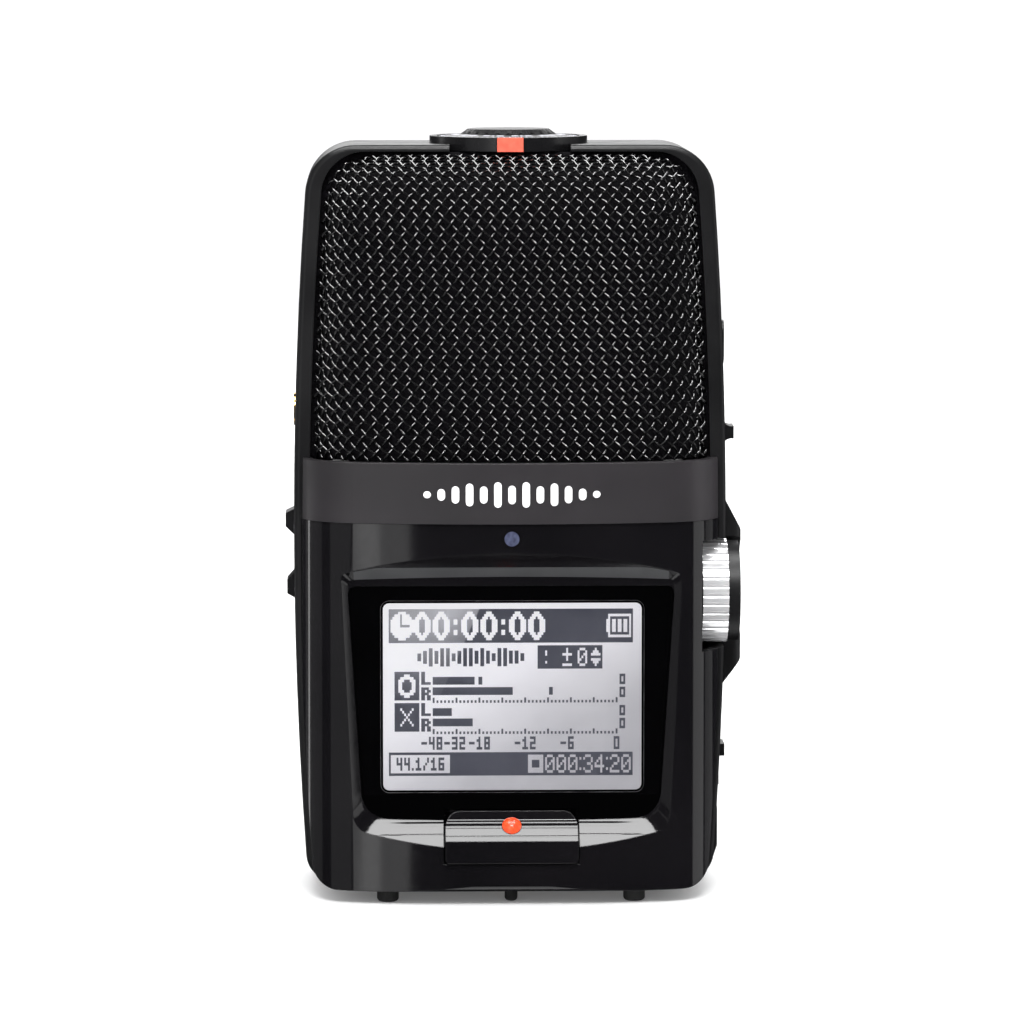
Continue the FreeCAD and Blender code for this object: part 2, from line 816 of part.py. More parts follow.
rear_outside, rear_inside = shell_blank(
    "rear_shell", 1, foot_height, band_low, 0, shell_front_view, shell_inner_view
)
column_radius = cell("column_radius", 3.3, "columns around the lower case screws")
columns = [
    common(
        f"screw_column_{side + 1}",
        rear_outside,
        rod(
            f"column_{side + 1}",
            column_radius,
            "y",
            (half_depth, band_reach),
            (side * screw_x, screw_rows[0]),
        ),
    )
    for side in (-1, 1)
]
rear_shell = cut(
    "rear_shell",
    fuse("rear_shell_solid", cut("rear_shell_skin", rear_outside, rear_inside), *columns),
    slab("door_opening", door_half + gap, (door_lip - gap, band_reach + 2), (0, door_top + gap)),
    *[
        rod(f"{name}_{side + 1}", radius, "y", ends, (side * screw_x, screw_rows[0]))
        for side in (-1, 1)
        for name, radius, ends in (
            ("shell_hole", shank_radius + gap, (half_depth - 1, band_reach)),
            ("shell_seat", head_radius + gap, (head_seat, band_reach)),
        )
    ],
)
keep("rear_shell", rear_shell)


def grip_ridge(index):
    """A raised bar across the battery door."""
    middle = grip_low + grip_pitch * index
    ends = (-grip_half, grip_half)
    return rod(f"grip_ridge_{index}", grip_radius, "x", ends, (body_reach - grip_sink, middle))


door_block = slab("door_block", door_half, (door_lip, band_reach), (foot_height, door_top))
door_panel = cut("door_panel", common("door_outside", rear_outside, door_block), rear_inside)
rail_inner = cell("rail_inner", 15.8, "inner edge of the battery door's rails from the middle")
riser_back = cell("riser_back", 18.4, "back of the webs that carry the battery door's rails")


def both_sides(name, inner, outer, y, z):
    """A pair of blocks, mirrored about the middle."""
    return [
        box(f"{name}_left", (-outer, -inner), y, z),
        box(f"{name}_right", (inner, outer), y, z),
    ]


rails = both_sides("rail", rail_inner, rail_half, rail_y, rail_z)
risers = both_sides("riser", rail_inner, door_half - hairline, (rail_y[0], riser_back), rail_z)
ridges = [grip_ridge(index) for index in range(int(grip_ridges.value))]
keep("battery_door", fuse("battery_door", door_panel, *rails, *risers, *ridges))

cell_radius = cell("cell_radius", 7.1, "battery")
cell_x = cell("cell_x", 7.3, "batteries from the middle")
cell_y = cell("cell_y", 10.6, "batteries, front to back")
cell_low = cell("cell_low", 7.2, "lower end of the batteries")
cell_length = cell("cell_length", 49.0, "battery can")
nub_radius = cell("nub_radius", 2.7, "battery's positive terminal")
nub_height = cell("nub_height", 1.2, "height of the battery's positive terminal")
tray_half = cell("tray_half", 15.5, "half the battery tray's width")
tray_wall = cell("tray_wall", 0.8, "battery tray wall")
tray_front = cell("tray_front", 2.6, "front of the battery tray")
tray_back = cell("tray_back", 16.4, "open back of the battery tray")
tray_low = cell("tray_low", 4.0, "underside of the battery tray")
tray_high = cell("tray_high", 59.0, "top of the battery tray")

tray = cut(
    "battery_tray",
    slab("tray_block", tray_half, (tray_front, tray_back), (tray_low, tray_high)),
    slab(
        "tray_room",
        tray_half - tray_wall,
        (tray_front + tray_wall, tray_back + 1),
        (tray_low + tray_wall, tray_high - tray_wall),
    ),
)
keep("battery_tray", tray)


def battery(side, upright):
    """A cell with its positive terminal at the top or the bottom."""
    label = "left" if side < 0 else "right"
    place = (side * cell_x, cell_y)
    low = cell_low if upright else cell_low + nub_height
    can = rod(f"can_{label}", cell_radius, "z", (low, low + cell_length), place)
    nub_ends = (low + cell_length, low + cell_length + nub_height) if upright else (cell_low, low)
    nub = rod(f"nub_{label}", nub_radius, "z", nub_ends, place)
    return fuse(f"battery_{label}", can, nub)


keep("batteries", group("batteries", battery(-1, True), battery(1, False)))
cell_high = cell_low + cell_length + nub_height
contact_thick = cell("contact_thick", 0.4, "battery contact plates")
contact_half = cell("contact_half", 4.0, "half the depth of a battery contact plate")
contact_reach = cell("contact_reach", 5.0, "battery contact plates from their battery's axis")
contact_split = cell("contact_split", 0.5, "edge of the upper plates from the middle")
coil_wide = cell("coil_wide", 4.2, "wide end of a battery spring")
coil_narrow = cell("coil_narrow", 2.4, "narrow end of a battery spring")


def contact(name, x, z):
    """A flat contact plate across one end of the tray."""
    return box(name, x, (cell_y - contact_half, cell_y + contact_half), z)


tray_floor = tray_low + tray_wall
tray_roof = tray_high - tray_wall
coil_low = tray_floor + contact_thick
coil_high = tray_roof - contact_thick
plate_outer = cell_x + contact_reach
plate_inner = cell_x - contact_reach
coil_left = cone("coil_left", coil_wide, coil_narrow, (coil_low, cell_low), (-cell_x, cell_y))
coil_right = cone("coil_right", coil_narrow, coil_wide, (cell_high, coil_high), (cell_x, cell_y))
lower_plates = [
    contact("plate_low_left", (-plate_outer, -plate_inner), (tray_floor, coil_low)),
    contact("plate_low_right", (plate_inner, plate_outer), (tray_floor, cell_low)),
]
upper_plates = [
    contact("plate_high_left", (-plate_outer, -contact_split), (cell_high, tray_roof)),
    contact("plate_high_right", (-contact_split, plate_outer), (coil_high, tray_roof)),
]
keep("battery_contacts", group("battery_contacts", *lower_plates, *upper_plates))
keep("battery_springs", group("battery_springs", coil_left, coil_right))

# ---- Case screws, feet and tripod bushing ----

foot_x = cell("foot_x", 18.1, "feet from the middle")
foot_y = cell("foot_y", 15.6, "feet, front to back")
foot_radius = cell("foot_radius", 1.6, "foot")
foot_edge = cell("foot_edge", 0.6, "rounding of a foot")
foot_swell = cell("foot_swell", 0.18, "swelling of a foot's rounded edge")
nub_foot = cell("nub_foot", 0.95, "front centre foot")
bushing_length = cell("bushing_length", 7.5, "tripod bushing")
thread_radius = cell("thread_radius", 2.55, "tripod thread's minor radius")
thread_depth = cell("thread_depth", 6.5, "depth of the tripod thread")


def case_screw(row, side):
    """A pan-head screw through the back into its boss."""
    name = f"screw_{row}_{side + 1}"
    x = side * screw_x
    height = screw_rows[row]
    seat = head_seat if row == 0 else half_depth
    tip = boss_start + 1
    shank = rod(name + "_shank", shank_radius, "y", (tip, seat), (x, height))
    head = rod(name + "_head", head_radius, "y", (seat, seat + head_thick), (x, height))
    socket_ends = (seat + head_thick - socket_depth, seat + head_thick + 1)
    socket = rod(name + "_socket", socket_radius, "y", socket_ends, (x, height))
    return cut(name, fuse(name + "_solid", shank, head), socket)


keep("case_screws", group("case_screws", *[case_screw(r, s) for r in (0, 1) for s in (-1, 1)]))


def foot(name, radius, x, y):
    """A low rubber dome with a flat underside."""
    dome = turned(
        name,
        [(0, 0), (radius - foot_edge, 0), (radius, foot_edge), (radius, foot_height), (0, foot_height)],
        {1: foot_swell},
    )
    return move(dome, x, y, 0)


corner_feet = [
    foot(f"foot_{sx + 1}{sy + 1}", foot_radius, sx * foot_x, sy * foot_y)
    for sx in (-1, 1)
    for sy in (-1, 1)
]
keep("feet", group("feet", *corner_feet, foot("centre_foot", nub_foot, 0, -foot_y)))

bushing_top = foot_height + bushing_length
bushing = cut(
    "tripod_bushing",
    rod("bushing_barrel", tripod_radius, "z", (foot_height, bushing_top), (0, tripod_y)),
    rod(
        "bushing_thread",
        thread_radius,
        "z",
        (foot_height - 1, foot_height + thread_depth),
        (0, tripod_y),
    ),
)
keep("tripod_bushing", bushing)

# ---- Grilles and the cloth behind them ----


def grille_layer(name, side, step, start):
    """One dome of the grille's shape, sunk below its outside by one of the mesh depths."""
    depth = mesh_depths[step]
    reach = grille_reach - depth
    half = cap_half - side_wall - depth
    return common(
        name,
        grille_views[step],
        plan_view(name + "_plan", side, half, reach, cap_round - depth),
        side_view(
            name + "_side", side, reach, grille_lean, 0, body_top - mesh_drop - depth, grille_round, True
        ),
        window(name + "_window", side, start, band_high, body_top),
    )


grille_foot = cell("grille_foot", 9.5, "how near the middle a grille's rim reaches")


def grille(side, label):
    """A domed grille and the acoustic cloth behind it."""
    mesh = cut(
        f"{label}_grille",
        grille_layer(f"{label}_mesh_outside", side, 0, grille_foot),
        grille_layer(f"{label}_mesh_inside", side, 1, grille_foot - 1),
    )
    keep(f"{label}_grille", mesh)
    cloth = cut(
        f"{label}_liner",
        grille_layer(f"{label}_cloth_outside", side, 2, grille_foot),
        grille_layer(f"{label}_cloth_inside", side, 3, grille_foot - 1),
    )
    keep(f"{label}_liner", cloth)


grille(-1, "front")
grille(1, "rear")

# ---- Display ----

glass_margin = cell("glass_margin", 0.1, "gap around the display window")
cell_half = cell("cell_half", 20.6, "half the display panel's width")
cell_bottom = cell("cell_bottom", 15.2, "lower edge of the display panel")
cell_top = cell("cell_top", 45.6, "upper edge of the display panel")
cell_thick = cell("cell_thick", 1.8, "display panel")
glow_thick = cell("glow_thick", 0.6, "backlight sheet")
holder_half = cell("holder_half", 22.4, "half the display holder's width")
holder_low = cell("holder_low", 14.9, "lower edge of the display holder")
holder_high = cell("holder_high", 47.2, "upper edge of the display holder")
holder_back = cell("holder_back", 11.0, "centre of the body to the back of the display holder")

glass_blank = recess_block(
    "glass_blank", glass_margin, (-window_plane, glass_thick - window_plane), glass_high - glass_margin, None
)
record_notch = slab(
    "record_notch",
    record_half + record_room,
    (-window_plane - 1, glass_thick - window_plane + 1),
    (0, record_high + record_room),
)
keep("display_window", cut("display_window", glass_blank, record_notch))

panel_y = (floor_back + hairline, floor_back + hairline + cell_thick)
glow_y = (panel_y[1], panel_y[1] + glow_thick)
keep("display_panel", slab("display_panel", cell_half, panel_y, (cell_bottom, cell_top)))
keep("display_backlight", slab("display_backlight", cell_half, glow_y, (cell_bottom, cell_top)))
holder = cut(
    "display_holder",
    slab("holder_block", holder_half, (panel_y[0], -holder_back), (holder_low, holder_high)),
    slab(
        "holder_room",
        cell_half + fit,
        (panel_y[0] - 1, glow_y[1]),
        (cell_bottom - fit, cell_top + fit),
    ),
)
keep("display_holder", holder)

# ---- Record button, its lens and its switch ----

record_corner = cell("record_corner", 2.2, "upper corner radius of the record button")
record_foot_round = cell("record_foot_round", 0.6, "lower corner radius of the record button")
record_flange = cell("record_flange", 0.8, "thickness and reach of the record button's flange")
record_travel = cell("record_travel", 0.5, "record button's travel")
record_lens = cell("record_lens", 1.4, "record button's lens")
record_lens_z = cell("record_lens_z", 11.65, "lens centre above the table")
record_lens_tilt = cell("record_lens_tilt", 46.0, "lean of the upper facet, in degrees")

flange_y = (floor_back + record_room, floor_back + record_room + record_flange)
record_profile = prism(
    "record_profile",
    "x",
    (-record_half, record_half),
    [
        (-record_reach, record_low),
        (flange_y[0], record_low),
        (flange_y[0], record_high),
        (-record_back, record_high),
        (-record_reach, record_fold),
    ],
)
record_profile = rounded(
    record_profile,
    "record_corners",
    record_corner,
    lambda p, e: runs_along(e, (0, 1, 0)) and p.z > record_fold.value,
)
record_profile = rounded(
    record_profile,
    "record_lower_corners",
    record_foot_round,
    lambda p, e: runs_along(e, (0, 1, 0)) and p.z < record_fold.value,
)
flange = slab(
    "record_flange_plate",
    record_half + record_flange,
    flange_y,
    (record_low - record_flange, record_high + record_flange),
)
lens_seat_depth = cell("lens_seat_depth", 0.8, "depth of the record lens's seat")
facet_share = (record_lens_z - record_fold) / (record_high - record_fold)
facet_y = (record_reach - record_back) * facet_share - record_reach


def lens_rod(name, low, high):
    """A cylinder square to the record button's upper facet, from low to high along its axis."""
    tilt = record_lens_tilt.value
    cylinder = document.addObject("Part::Cylinder", name)
    bind(cylinder, "Radius", record_lens)
    bind(cylinder, "Height", dim(high) - low)
    turn = FreeCAD.Rotation(Vector(1, 0, 0), tilt)
    start = turn.multVec(Vector(0, 0, dim(low).value))
    return move(cylinder, 0, facet_y + start.y, record_lens_z + start.z, (1, 0, 0), tilt)


record_button = cut(
    "record_button",
    fuse("record_solid", record_profile, flange),
    lens_rod("lens_seat", -lens_seat_depth, 2),
)
keep("record_button", record_button)
lens_dome_share = cell("lens_dome_share", 1.25, "dome of the lens, as a share of the lens's radius")
lens_drop_share = cell("lens_drop_share", 0.55, "depth of the dome's centre, as the same share")
lens_dome = document.addObject("Part::Sphere", "lens_dome")
bind(lens_dome, "Radius", record_lens * lens_dome_share)
dome_drop = record_lens * lens_drop_share
dome_turn = FreeCAD.Rotation(Vector(1, 0, 0), record_lens_tilt.value)
dome_centre = dome_turn.multVec(Vector(0, 0, -dome_drop.value))
move(lens_dome, 0, facet_y + dome_centre.y, record_lens_z + dome_centre.z)
keep("record_lens", common("record_lens", lens_rod("lens_barrel", -lens_seat_depth, 2), lens_dome))

front_board_front = cell("front_board_front", -10.8, "front face of the front circuit board")
front_board_y = (front_board_front, front_board_front + board)
board_half = cell("board_half", 22.0, "half the front circuit board's width")
front_board_z = (
    cell("front_board_low", 5.2, "lower edge of the front circuit board"),
    cell("front_board_high", 56.0, "upper edge of the front circuit board"),
)
keep("front_board", slab("front_board", board_half, front_board_y, front_board_z))

tact_half = cell("tact_half", 2.6, "half the width of a push switch")
tact_room = cell("tact_room", 0.05, "play between a key at rest and its switch")
plunger_radius = cell("plunger_radius", 1.0, "plunger of a push switch")
record_middle = (record_low + record_high) / 2
record_tip = flange_y[1] + record_travel + tact_room
record_can = (cell("record_can_front", -12.3, "front of the record switch's can"), front_board_front)
record_switch = fuse(
    "record_switch",
    slab("record_can", tact_half, record_can, (record_middle - tact_half, record_middle + tact_half)),
    rod("record_plunger", plunger_radius, "y", (record_tip, record_can[0]), (0, record_middle)),
)
keep("record_switch", record_switch)

led_top = cell("led_top", 21.1, "centre of the body to the status light's face")
keep("status_light", rod("status_light", led_radius, "y", (-led_top, front_board_y[0]), (0, led_z)))

# ---- Mode dial on the crown ----

bezel_wall = cell("bezel_wall", 1.0, "mode dial bezel's wall")
bezel_low = cell("bezel_low", 107.4, "underside of the bezel")
bezel_top = cell("bezel_top", 111.8, "top of the bezel")
disc_radius = cell("disc_radius", 10.3, "mode dial's disc")
disc_low = cell("disc_low", 109.75, "underside of the mode dial's disc")
disc_top = cell("disc_top", 111.7, "top of the mode dial's disc at its edge")
disc_crest = cell("disc_crest", 112.05, "top of the mode dial's disc at the knob")
knob_foot = cell("knob_foot", 6.95, "mode knob at its foot")
knob_crown = cell("knob_crown", 5.9, "mode knob at its crown")
knob_top = cell("knob_top", 112.8, "top of the mode knob")
hub_radius = cell("hub_radius", 3.2, "mode dial's hub")
hub_low = cell("hub_low", 104.9, "underside of the mode dial's hub")
shaft_radius = cell("shaft_radius", 1.5, "switch and potentiometer shafts")
shaft_top = cell("shaft_top", 110.4, "top of the mode switch's shaft")
index_half = cell("index_half", 1.9, "half the index mark's width")
index_y = (
    cell("index_front", -12.1, "front of the index mark"),
    cell("index_back", -11.0, "back of the index mark"),
)
index_low = cell("index_low", 109.75, "underside of the index mark")
knob_flutes = cell("knob_flutes", 24, "flutes around the mode knob")
flute_radius = cell("flute_radius", 0.45, "flute on the mode knob")
flute_out = cell("flute_out", 0.05, "a flute's axis outside the mode knob's foot")
skirt_radius = cell("skirt_radius", 8.8, "part of the bezel that reaches down inside the chassis")

bezel_ring = cut(
    "bezel_ring",
    rod("bezel_outside", bezel_radius, "z", (bezel_low, bezel_top), (0, 0)),
    rod("bezel_inside", bezel_radius - bezel_wall, "z", (bezel_low - 1, bezel_top + 1), (0, 0)),
)
crown_skirt = box(
    "crown_skirt",
    (-bezel_radius - 1, bezel_radius + 1),
    (-2 * half_depth, 2 * half_depth),
    (bezel_low - 1, body_top - end_wall),
)
index_slot = slab("index_slot", index_half, (index_y[0], index_y[1]), (index_low, bezel_top + 1))
bezel_step = cut(
    "bezel_step",
    crown_skirt,
    rod("skirt_keep", skirt_radius, "z", (bezel_low - 2, bezel_top), (0, 0)),
)
keep("dial_bezel", cut("dial_bezel", bezel_ring, bezel_step, index_slot))
keep("dial_index", slab("dial_index", index_half, index_y, (index_low, bezel_top)))


def knob_flute(index):
    """A cutter for one flute of the mode knob."""
    turn = FreeCAD.Rotation(Vector(0, 0, 1), 360 * index / knob_flutes.value)
    place = turn.multVec(Vector(knob_foot.value + flute_out.value, 0, 0))
    name = f"flute_{index}"
    return rod(name, flute_radius, "z", (disc_crest, knob_top + 1), (place.x, place.y))


knob = cone("knob_blank", knob_foot, knob_crown, (disc_crest, knob_top), (0, 0))
flutes = [knob_flute(index) for index in range(int(knob_flutes.value))]
mode_dial = cut(
    "mode_dial",
    fuse(
        "dial_solid",
        rod("dial_disc", disc_radius, "z", (disc_low, disc_top), (0, 0)),
        cone("dial_slope", disc_radius, knob_foot, (disc_top, disc_crest), (0, 0)),
        cut("knob_fluted", knob, *flutes),
        rod("dial_hub", hub_radius, "z", (hub_low, disc_low), (0, 0)),
    ),
    rod("dial_bore", shaft_radius + fit, "z", (hub_low - 1, shaft_top + gap), (0, 0)),
)
keep("mode_dial", mode_dial)

switch_half = cell("switch_half", 6.0, "half the width of the mode switch")
switch_low = cell("switch_low", 99.8, "underside of the mode switch")
switch_high = cell("switch_high", 104.2, "top of the mode switch")
bridge_half = cell("bridge_half", 27.8, "half the length of the bridge under the mode switch")
bridge_y = cell("bridge_y", 7.0, "half the width of the bridge")
bridge_low = cell("bridge_low", 98.4, "underside of the bridge")

mode_switch = fuse(
    "mode_switch",
    slab("mode_switch_can", switch_half, (-switch_half, switch_half), (switch_low, switch_high)),
    rod("mode_switch_shaft", shaft_radius, "z", (switch_high, shaft_top), (0, 0)),
)
keep("mode_switch", mode_switch)
bridge_plate = slab("bridge", bridge_half, (-bridge_y, bridge_y), (bridge_low, switch_low))
keep("switch_bridge", bridge_plate)

# ---- Gain wheel ----

gain_cap_radius = cell("gain_cap_radius", 7.4, "gain wheel's cap")
gain_flutes = cell("gain_flutes", 36, "grooves around the gain wheel")
gain_flute_radius = cell("gain_flute_radius", 0.35, "groove on the gain wheel")
gain_flute_out = cell("gain_flute_out", 0.12, "a groove's axis outside the gain wheel's rim")
pot_x = (
    cell("pot_inner", 23.3, "inner face of the gain potentiometer"),
    cell("pot_outer", 27.3, "outer face of the gain potentiometer"),
)
pot_half = cell("pot_half", 4.8, "half the width of the gain potentiometer")
pot_shaft_end = cell("pot_shaft_end", 31.4, "end of the gain potentiometer's shaft")


def gain_flute(index):
    """A cutter for one groove along the rim of the gain wheel."""
    turn = FreeCAD.Rotation(Vector(1, 0, 0), 360 * index / gain_flutes.value)
    place = turn.multVec(Vector(0, gain_radius.value + gain_flute_out.value, 0))
    centre = (gain_y + place.y, gain_z + place.z)
    ends = (gain_inner - 1, gain_outer + 1)
    return rod(f"gain_flute_{index}", gain_flute_radius, "x", ends, centre)


gain_wheel = cut(
    "gain_wheel",
    rod("gain_blank", gain_radius, "x", (gain_inner, gain_outer), (gain_y, gain_z)),
    rod(
        "gain_bore",
        shaft_radius + fit,
        "x",
        (gain_inner - 1, pot_shaft_end + gap),
        (gain_y, gain_z),
    ),
    *[gain_flute(index) for index in range(int(gain_flutes.value))],
)
keep("gain_wheel", gain_wheel)
gain_cap = rod("gain_cap", gain_cap_radius, "x", (gain_outer, gain_cap_outer), (gain_y, gain_z))
keep("gain_cap", gain_cap)
gain_pot = fuse(
    "gain_potentiometer",
    box("pot_can", pot_x, (gain_y - pot_half, gain_y + pot_half), (gain_z - pot_half, gain_z + pot_half)),
    rod("pot_shaft", shaft_radius, "x", (pot_x[1], pot_shaft_end), (gain_y, gain_z)),
)
keep("gain_potentiometer", gain_pot)

# ---- Volume rocker ----

rocker_face = face(rocker_z)
rocker_back = cell("rocker_back", 29.2, "back of the volume rocker from the middle")
rocker_end = rocker_z + rocker_half
rocker_start = rocker_z - rocker_half
lug_height = cell("lug_height", 3.6, "height of each end of the volume rocker")
lug_slope = cell("lug_slope", 0.8, "height of the slopes at the volume rocker's ends")
lug_spread = cell("lug_spread", 0.4, "how far the ends widen at their roots")
lug_lower = cell("lug_lower", 0.2, "how much less the lower end stands out")
waist = cell("waist", 0.1, "how far the volume rocker's waist stands out of the side")
shoulder = cell("shoulder", 0.3, "how far the volume rocker's ends lie in from the side")
rocker_waist = rocker_face + waist
rocker_plate = prism(
    "rocker_plate",
    "y",
    (-rocker_y, rocker_y),
    [
        (-rocker_out, rocker_end - lug_slope),
        (-rocker_out, rocker_end - lug_height + lug_slope),
        (-rocker_waist, rocker_end - lug_height - lug_spread),
        (-rocker_waist, rocker_start + lug_height + lug_spread),
        (lug_lower - rocker_out, rocker_start + lug_height - lug_slope),
        (lug_lower - rocker_out, rocker_start + lug_slope),
        (shoulder - rocker_face, rocker_start),
        (-rocker_back, rocker_start),
        (-rocker_back, rocker_end),
        (shoulder - rocker_face, rocker_end),
    ],
)
rocker_hub = rod("rocker_hub", pivot_half, "y", (-rocker_y, rocker_y), (-rocker_pivot, rocker_z))
rocker_bore = rod(
    "rocker_bore", pin_radius + fit, "y", (-rocker_y - 1, rocker_y + 1), (-rocker_pivot, rocker_z)
)
keep("volume_rocker", cut("volume_rocker", fuse("rocker_solid", rocker_plate, rocker_hub), rocker_bore))
rocker_pin = rod(
    "volume_pin", pin_radius, "y", (-rocker_y - pin_reach, rocker_y + pin_reach), (-rocker_pivot, rocker_z)
)
keep("volume_pin", rocker_pin)

volume_spread = cell("volume_spread", 5.0, "volume switches from the rocker's pivot")
volume_can = (
    cell("volume_can_inner", 24.2, "inner face of the volume switches"),
    cell("volume_can_outer", 26.4, "outer face of the volume switches"),
)
volume_tip = cell("volume_tip", 28.7, "tips of the volume switches' plungers")


def volume_switch(sign):
    """A push switch behind one end of the rocker."""
    height = rocker_z + sign * volume_spread
    name = f"volume_switch_{'up' if sign > 0 else 'down'}"
    can = box(
        name + "_can",
        (-volume_can[1], -volume_can[0]),
        (-tact_half, tact_half),
        (height - tact_half, height + tact_half),
    )
    plunger = rod(name + "_plunger", plunger_radius, "x", (-volume_tip, -volume_can[1]), (0, height))
    return fuse(name, can, plunger)


keep("volume_switches", group("volume_switches", volume_switch(1), volume_switch(-1)))

# ---- Menu button ----

menu_face = face(menu_z)
menu_travel = cell("menu_travel", 0.4, "menu button's travel")
menu_flange = (
    cell("menu_flange_inner", 27.4, "inner face of the menu button's flange"),
    cell("menu_flange_outer", 28.4, "outer face of the menu button's flange"),
)
key_round = cell("key_round", 1.6, "corner radius of the side keys")
key_flange = cell("key_flange", 0.9, "reach of the menu button's flange")
menu_cap = prism(
    "menu_cap",
    "x",
    (menu_flange[1], menu_face + menu_proud),
    [
        (-rocker_y, menu_z - menu_half),
        (rocker_y, menu_z - menu_half),
        (rocker_y, menu_z + menu_half),
        (-rocker_y, menu_z + menu_half),
    ],
)
menu_cap = rounded(menu_cap, "menu_corners", key_round, lambda p, e: runs_along(e, (1, 0, 0)))
menu_plate = box(
    "menu_plate",
    menu_flange,
    (-rocker_y - key_flange, rocker_y + key_flange),
    (menu_z - menu_half - key_flange, menu_z + menu_half + key_flange),
)
keep("menu_button", fuse("menu_button", menu_cap, menu_plate))
menu_can = (
    cell("menu_can_inner", 22.9, "inner face of the menu switch"),
    cell("menu_can_outer", 25.4, "outer face of the menu switch"),
)
menu_tip = menu_flange[0] - menu_travel - tact_room
menu_switch = fuse(
    "menu_switch",
    box("menu_switch_can", menu_can, (-tact_half, tact_half), (menu_z - tact_half, menu_z + tact_half)),
    rod("menu_switch_plunger", plunger_radius, "x", (menu_can[1], menu_tip), (0, menu_z)),
)

# ---- Play lever: it tilts on a stem that also pushes in ----

play_face = face(play_z)
play_cap_back = cell("play_cap_back", 29.0, "back of the play lever's cap")
play_lug_out = cell("play_lug_out", 33.4, "outermost point of the play lever")
play_lug_half = cell("play_lug_half", 0.95, "half the thickness of the play lever's lug")
play_edge = cell("play_edge", 0.2, "how far the play lever's ends lie in from the side")
play_lip = cell("play_lip", 0.1, "how far the lever stands out next to its ends")
play_slope = cell("play_slope", 0.6, "height of the slopes at the lever's ends")
play_hollow = cell("play_hollow", 0.75, "hollow between the lever's lug and its ends")
play_end = play_face - play_edge
play_rise = play_face + play_lip
play_travel = cell("play_travel", 0.4, "play lever's travel inwards")
stem_inner = cell("stem_inner", 24.0, "inner end of the play lever's stem")
stem_half = cell("stem_half", 1.3, "half the thickness of the stem")
stem_eye = cell("stem_eye", 0.9, "how far the stem reaches past the pivot")
cheek_in = cell("cheek_in", 1.2, "inner face of the play lever's cheeks")
cheek_out = cell("cheek_out", 2.2, "outer face of the play lever's cheeks")
cheek_radius = cell("cheek_radius", 1.5, "end of the play lever's cheeks")
play_cap = prism(
    "play_cap",
    "y",
    (hairline - rocker_y, rocker_y - hairline),
    [
        (play_cap_back, play_z - play_half),
        (play_end, play_z - play_half),
        (play_rise, play_z - play_half + play_slope),
        (play_lug_out, play_z - play_lug_half),
        (play_lug_out, play_z + play_lug_half),
        (play_rise, play_z + play_half - play_slope),
        (play_end, play_z + play_half),
        (play_cap_back, play_z + play_half),
    ],
    {2: -play_hollow, 4: -play_hollow},
)


def cheek(side):
    """One of the two plates that carry the lever on the stem's pin."""
    y = (cheek_in, cheek_out) if side > 0 else (-cheek_out, -cheek_in)
    name = f"cheek_{side + 1}"
    plate = box(
        name, (play_pivot, play_cap_back + 0.2), y, (play_z - cheek_radius, play_z + cheek_radius)
    )
    return [plate, rod(name + "_end", cheek_radius, "y", y, (play_pivot, play_z))]


play_bore = rod("play_bore", pin_radius + fit, "y", (-rocker_y, rocker_y), (play_pivot, play_z))
play_lever = cut("play_lever", fuse("play_solid", play_cap, *cheek(-1), *cheek(1)), play_bore)
keep("play_lever", play_lever)
stem = fuse(
    "play_stem",
    box(
        "stem_block",
        (stem_inner, play_pivot + stem_eye),
        (-cheek_in + gap, cheek_in - gap),
        (play_z - stem_half, play_z + stem_half),
    ),
    rod("stem_pin", pin_radius, "y", (-cheek_out, cheek_out), (play_pivot, play_z)),
)
keep("play_stem", stem)
play_can = (
    cell("play_can_inner", 20.4, "inner face of the play switch"),
    stem_inner - play_travel - tact_room,
)
play_switch_y = cell("play_switch_y", 3.0, "half the width of the play switch")
play_switch = box(
    "play_switch", play_can, (-play_switch_y, play_switch_y), (play_z - play_half, play_z + play_half)
)

# ---- Power slider ----

power_out = cell("power_out", 31.35, "face of the power slider")
power_lug_out = cell("power_lug_out", 32.2, "outermost point of the power slider")
power_lug_half = cell("power_lug_half", 0.9, "half the thickness of the power slider's lug")
power_inner = cell("power_inner", 27.0, "inner end of the power slider's tongue")
power_switch_y = cell("power_switch_y", 2.8, "half the width of the power switch")
power_switch_half = cell("power_switch_half", 6.4, "half the height of the power switch")
power_plate = box(
    "power_plate",
    (power_floor + hairline, power_out),
    (-rocker_y, rocker_y),
    (power_z - power_half, power_z + power_half),
)
power_lug = box(
    "power_lug",
    (power_out - 0.2, power_lug_out),
    (-rocker_y, rocker_y),
    (power_z - power_lug_half, power_z + power_lug_half),
)
power_tongue = box(
    "power_tongue",
    (power_inner, power_floor + 0.3),
    (-power_tongue_y, power_tongue_y),
    (power_z - power_tongue_z, power_z + power_tongue_z),
)
keep("power_slider", fuse("power_slider", power_plate, power_lug, power_tongue))
power_switch = box(
    "power_switch",
    (cell("power_switch_inner", 22.4, "inner face of the power switch"), power_inner - hairline),
    (-power_switch_y, power_switch_y),
    (power_z - power_switch_half, power_z + power_switch_half),
)
keep("side_switches", group("side_switches", menu_switch, play_switch, power_switch))

# ---- Memory card, its socket and its hinged door ----

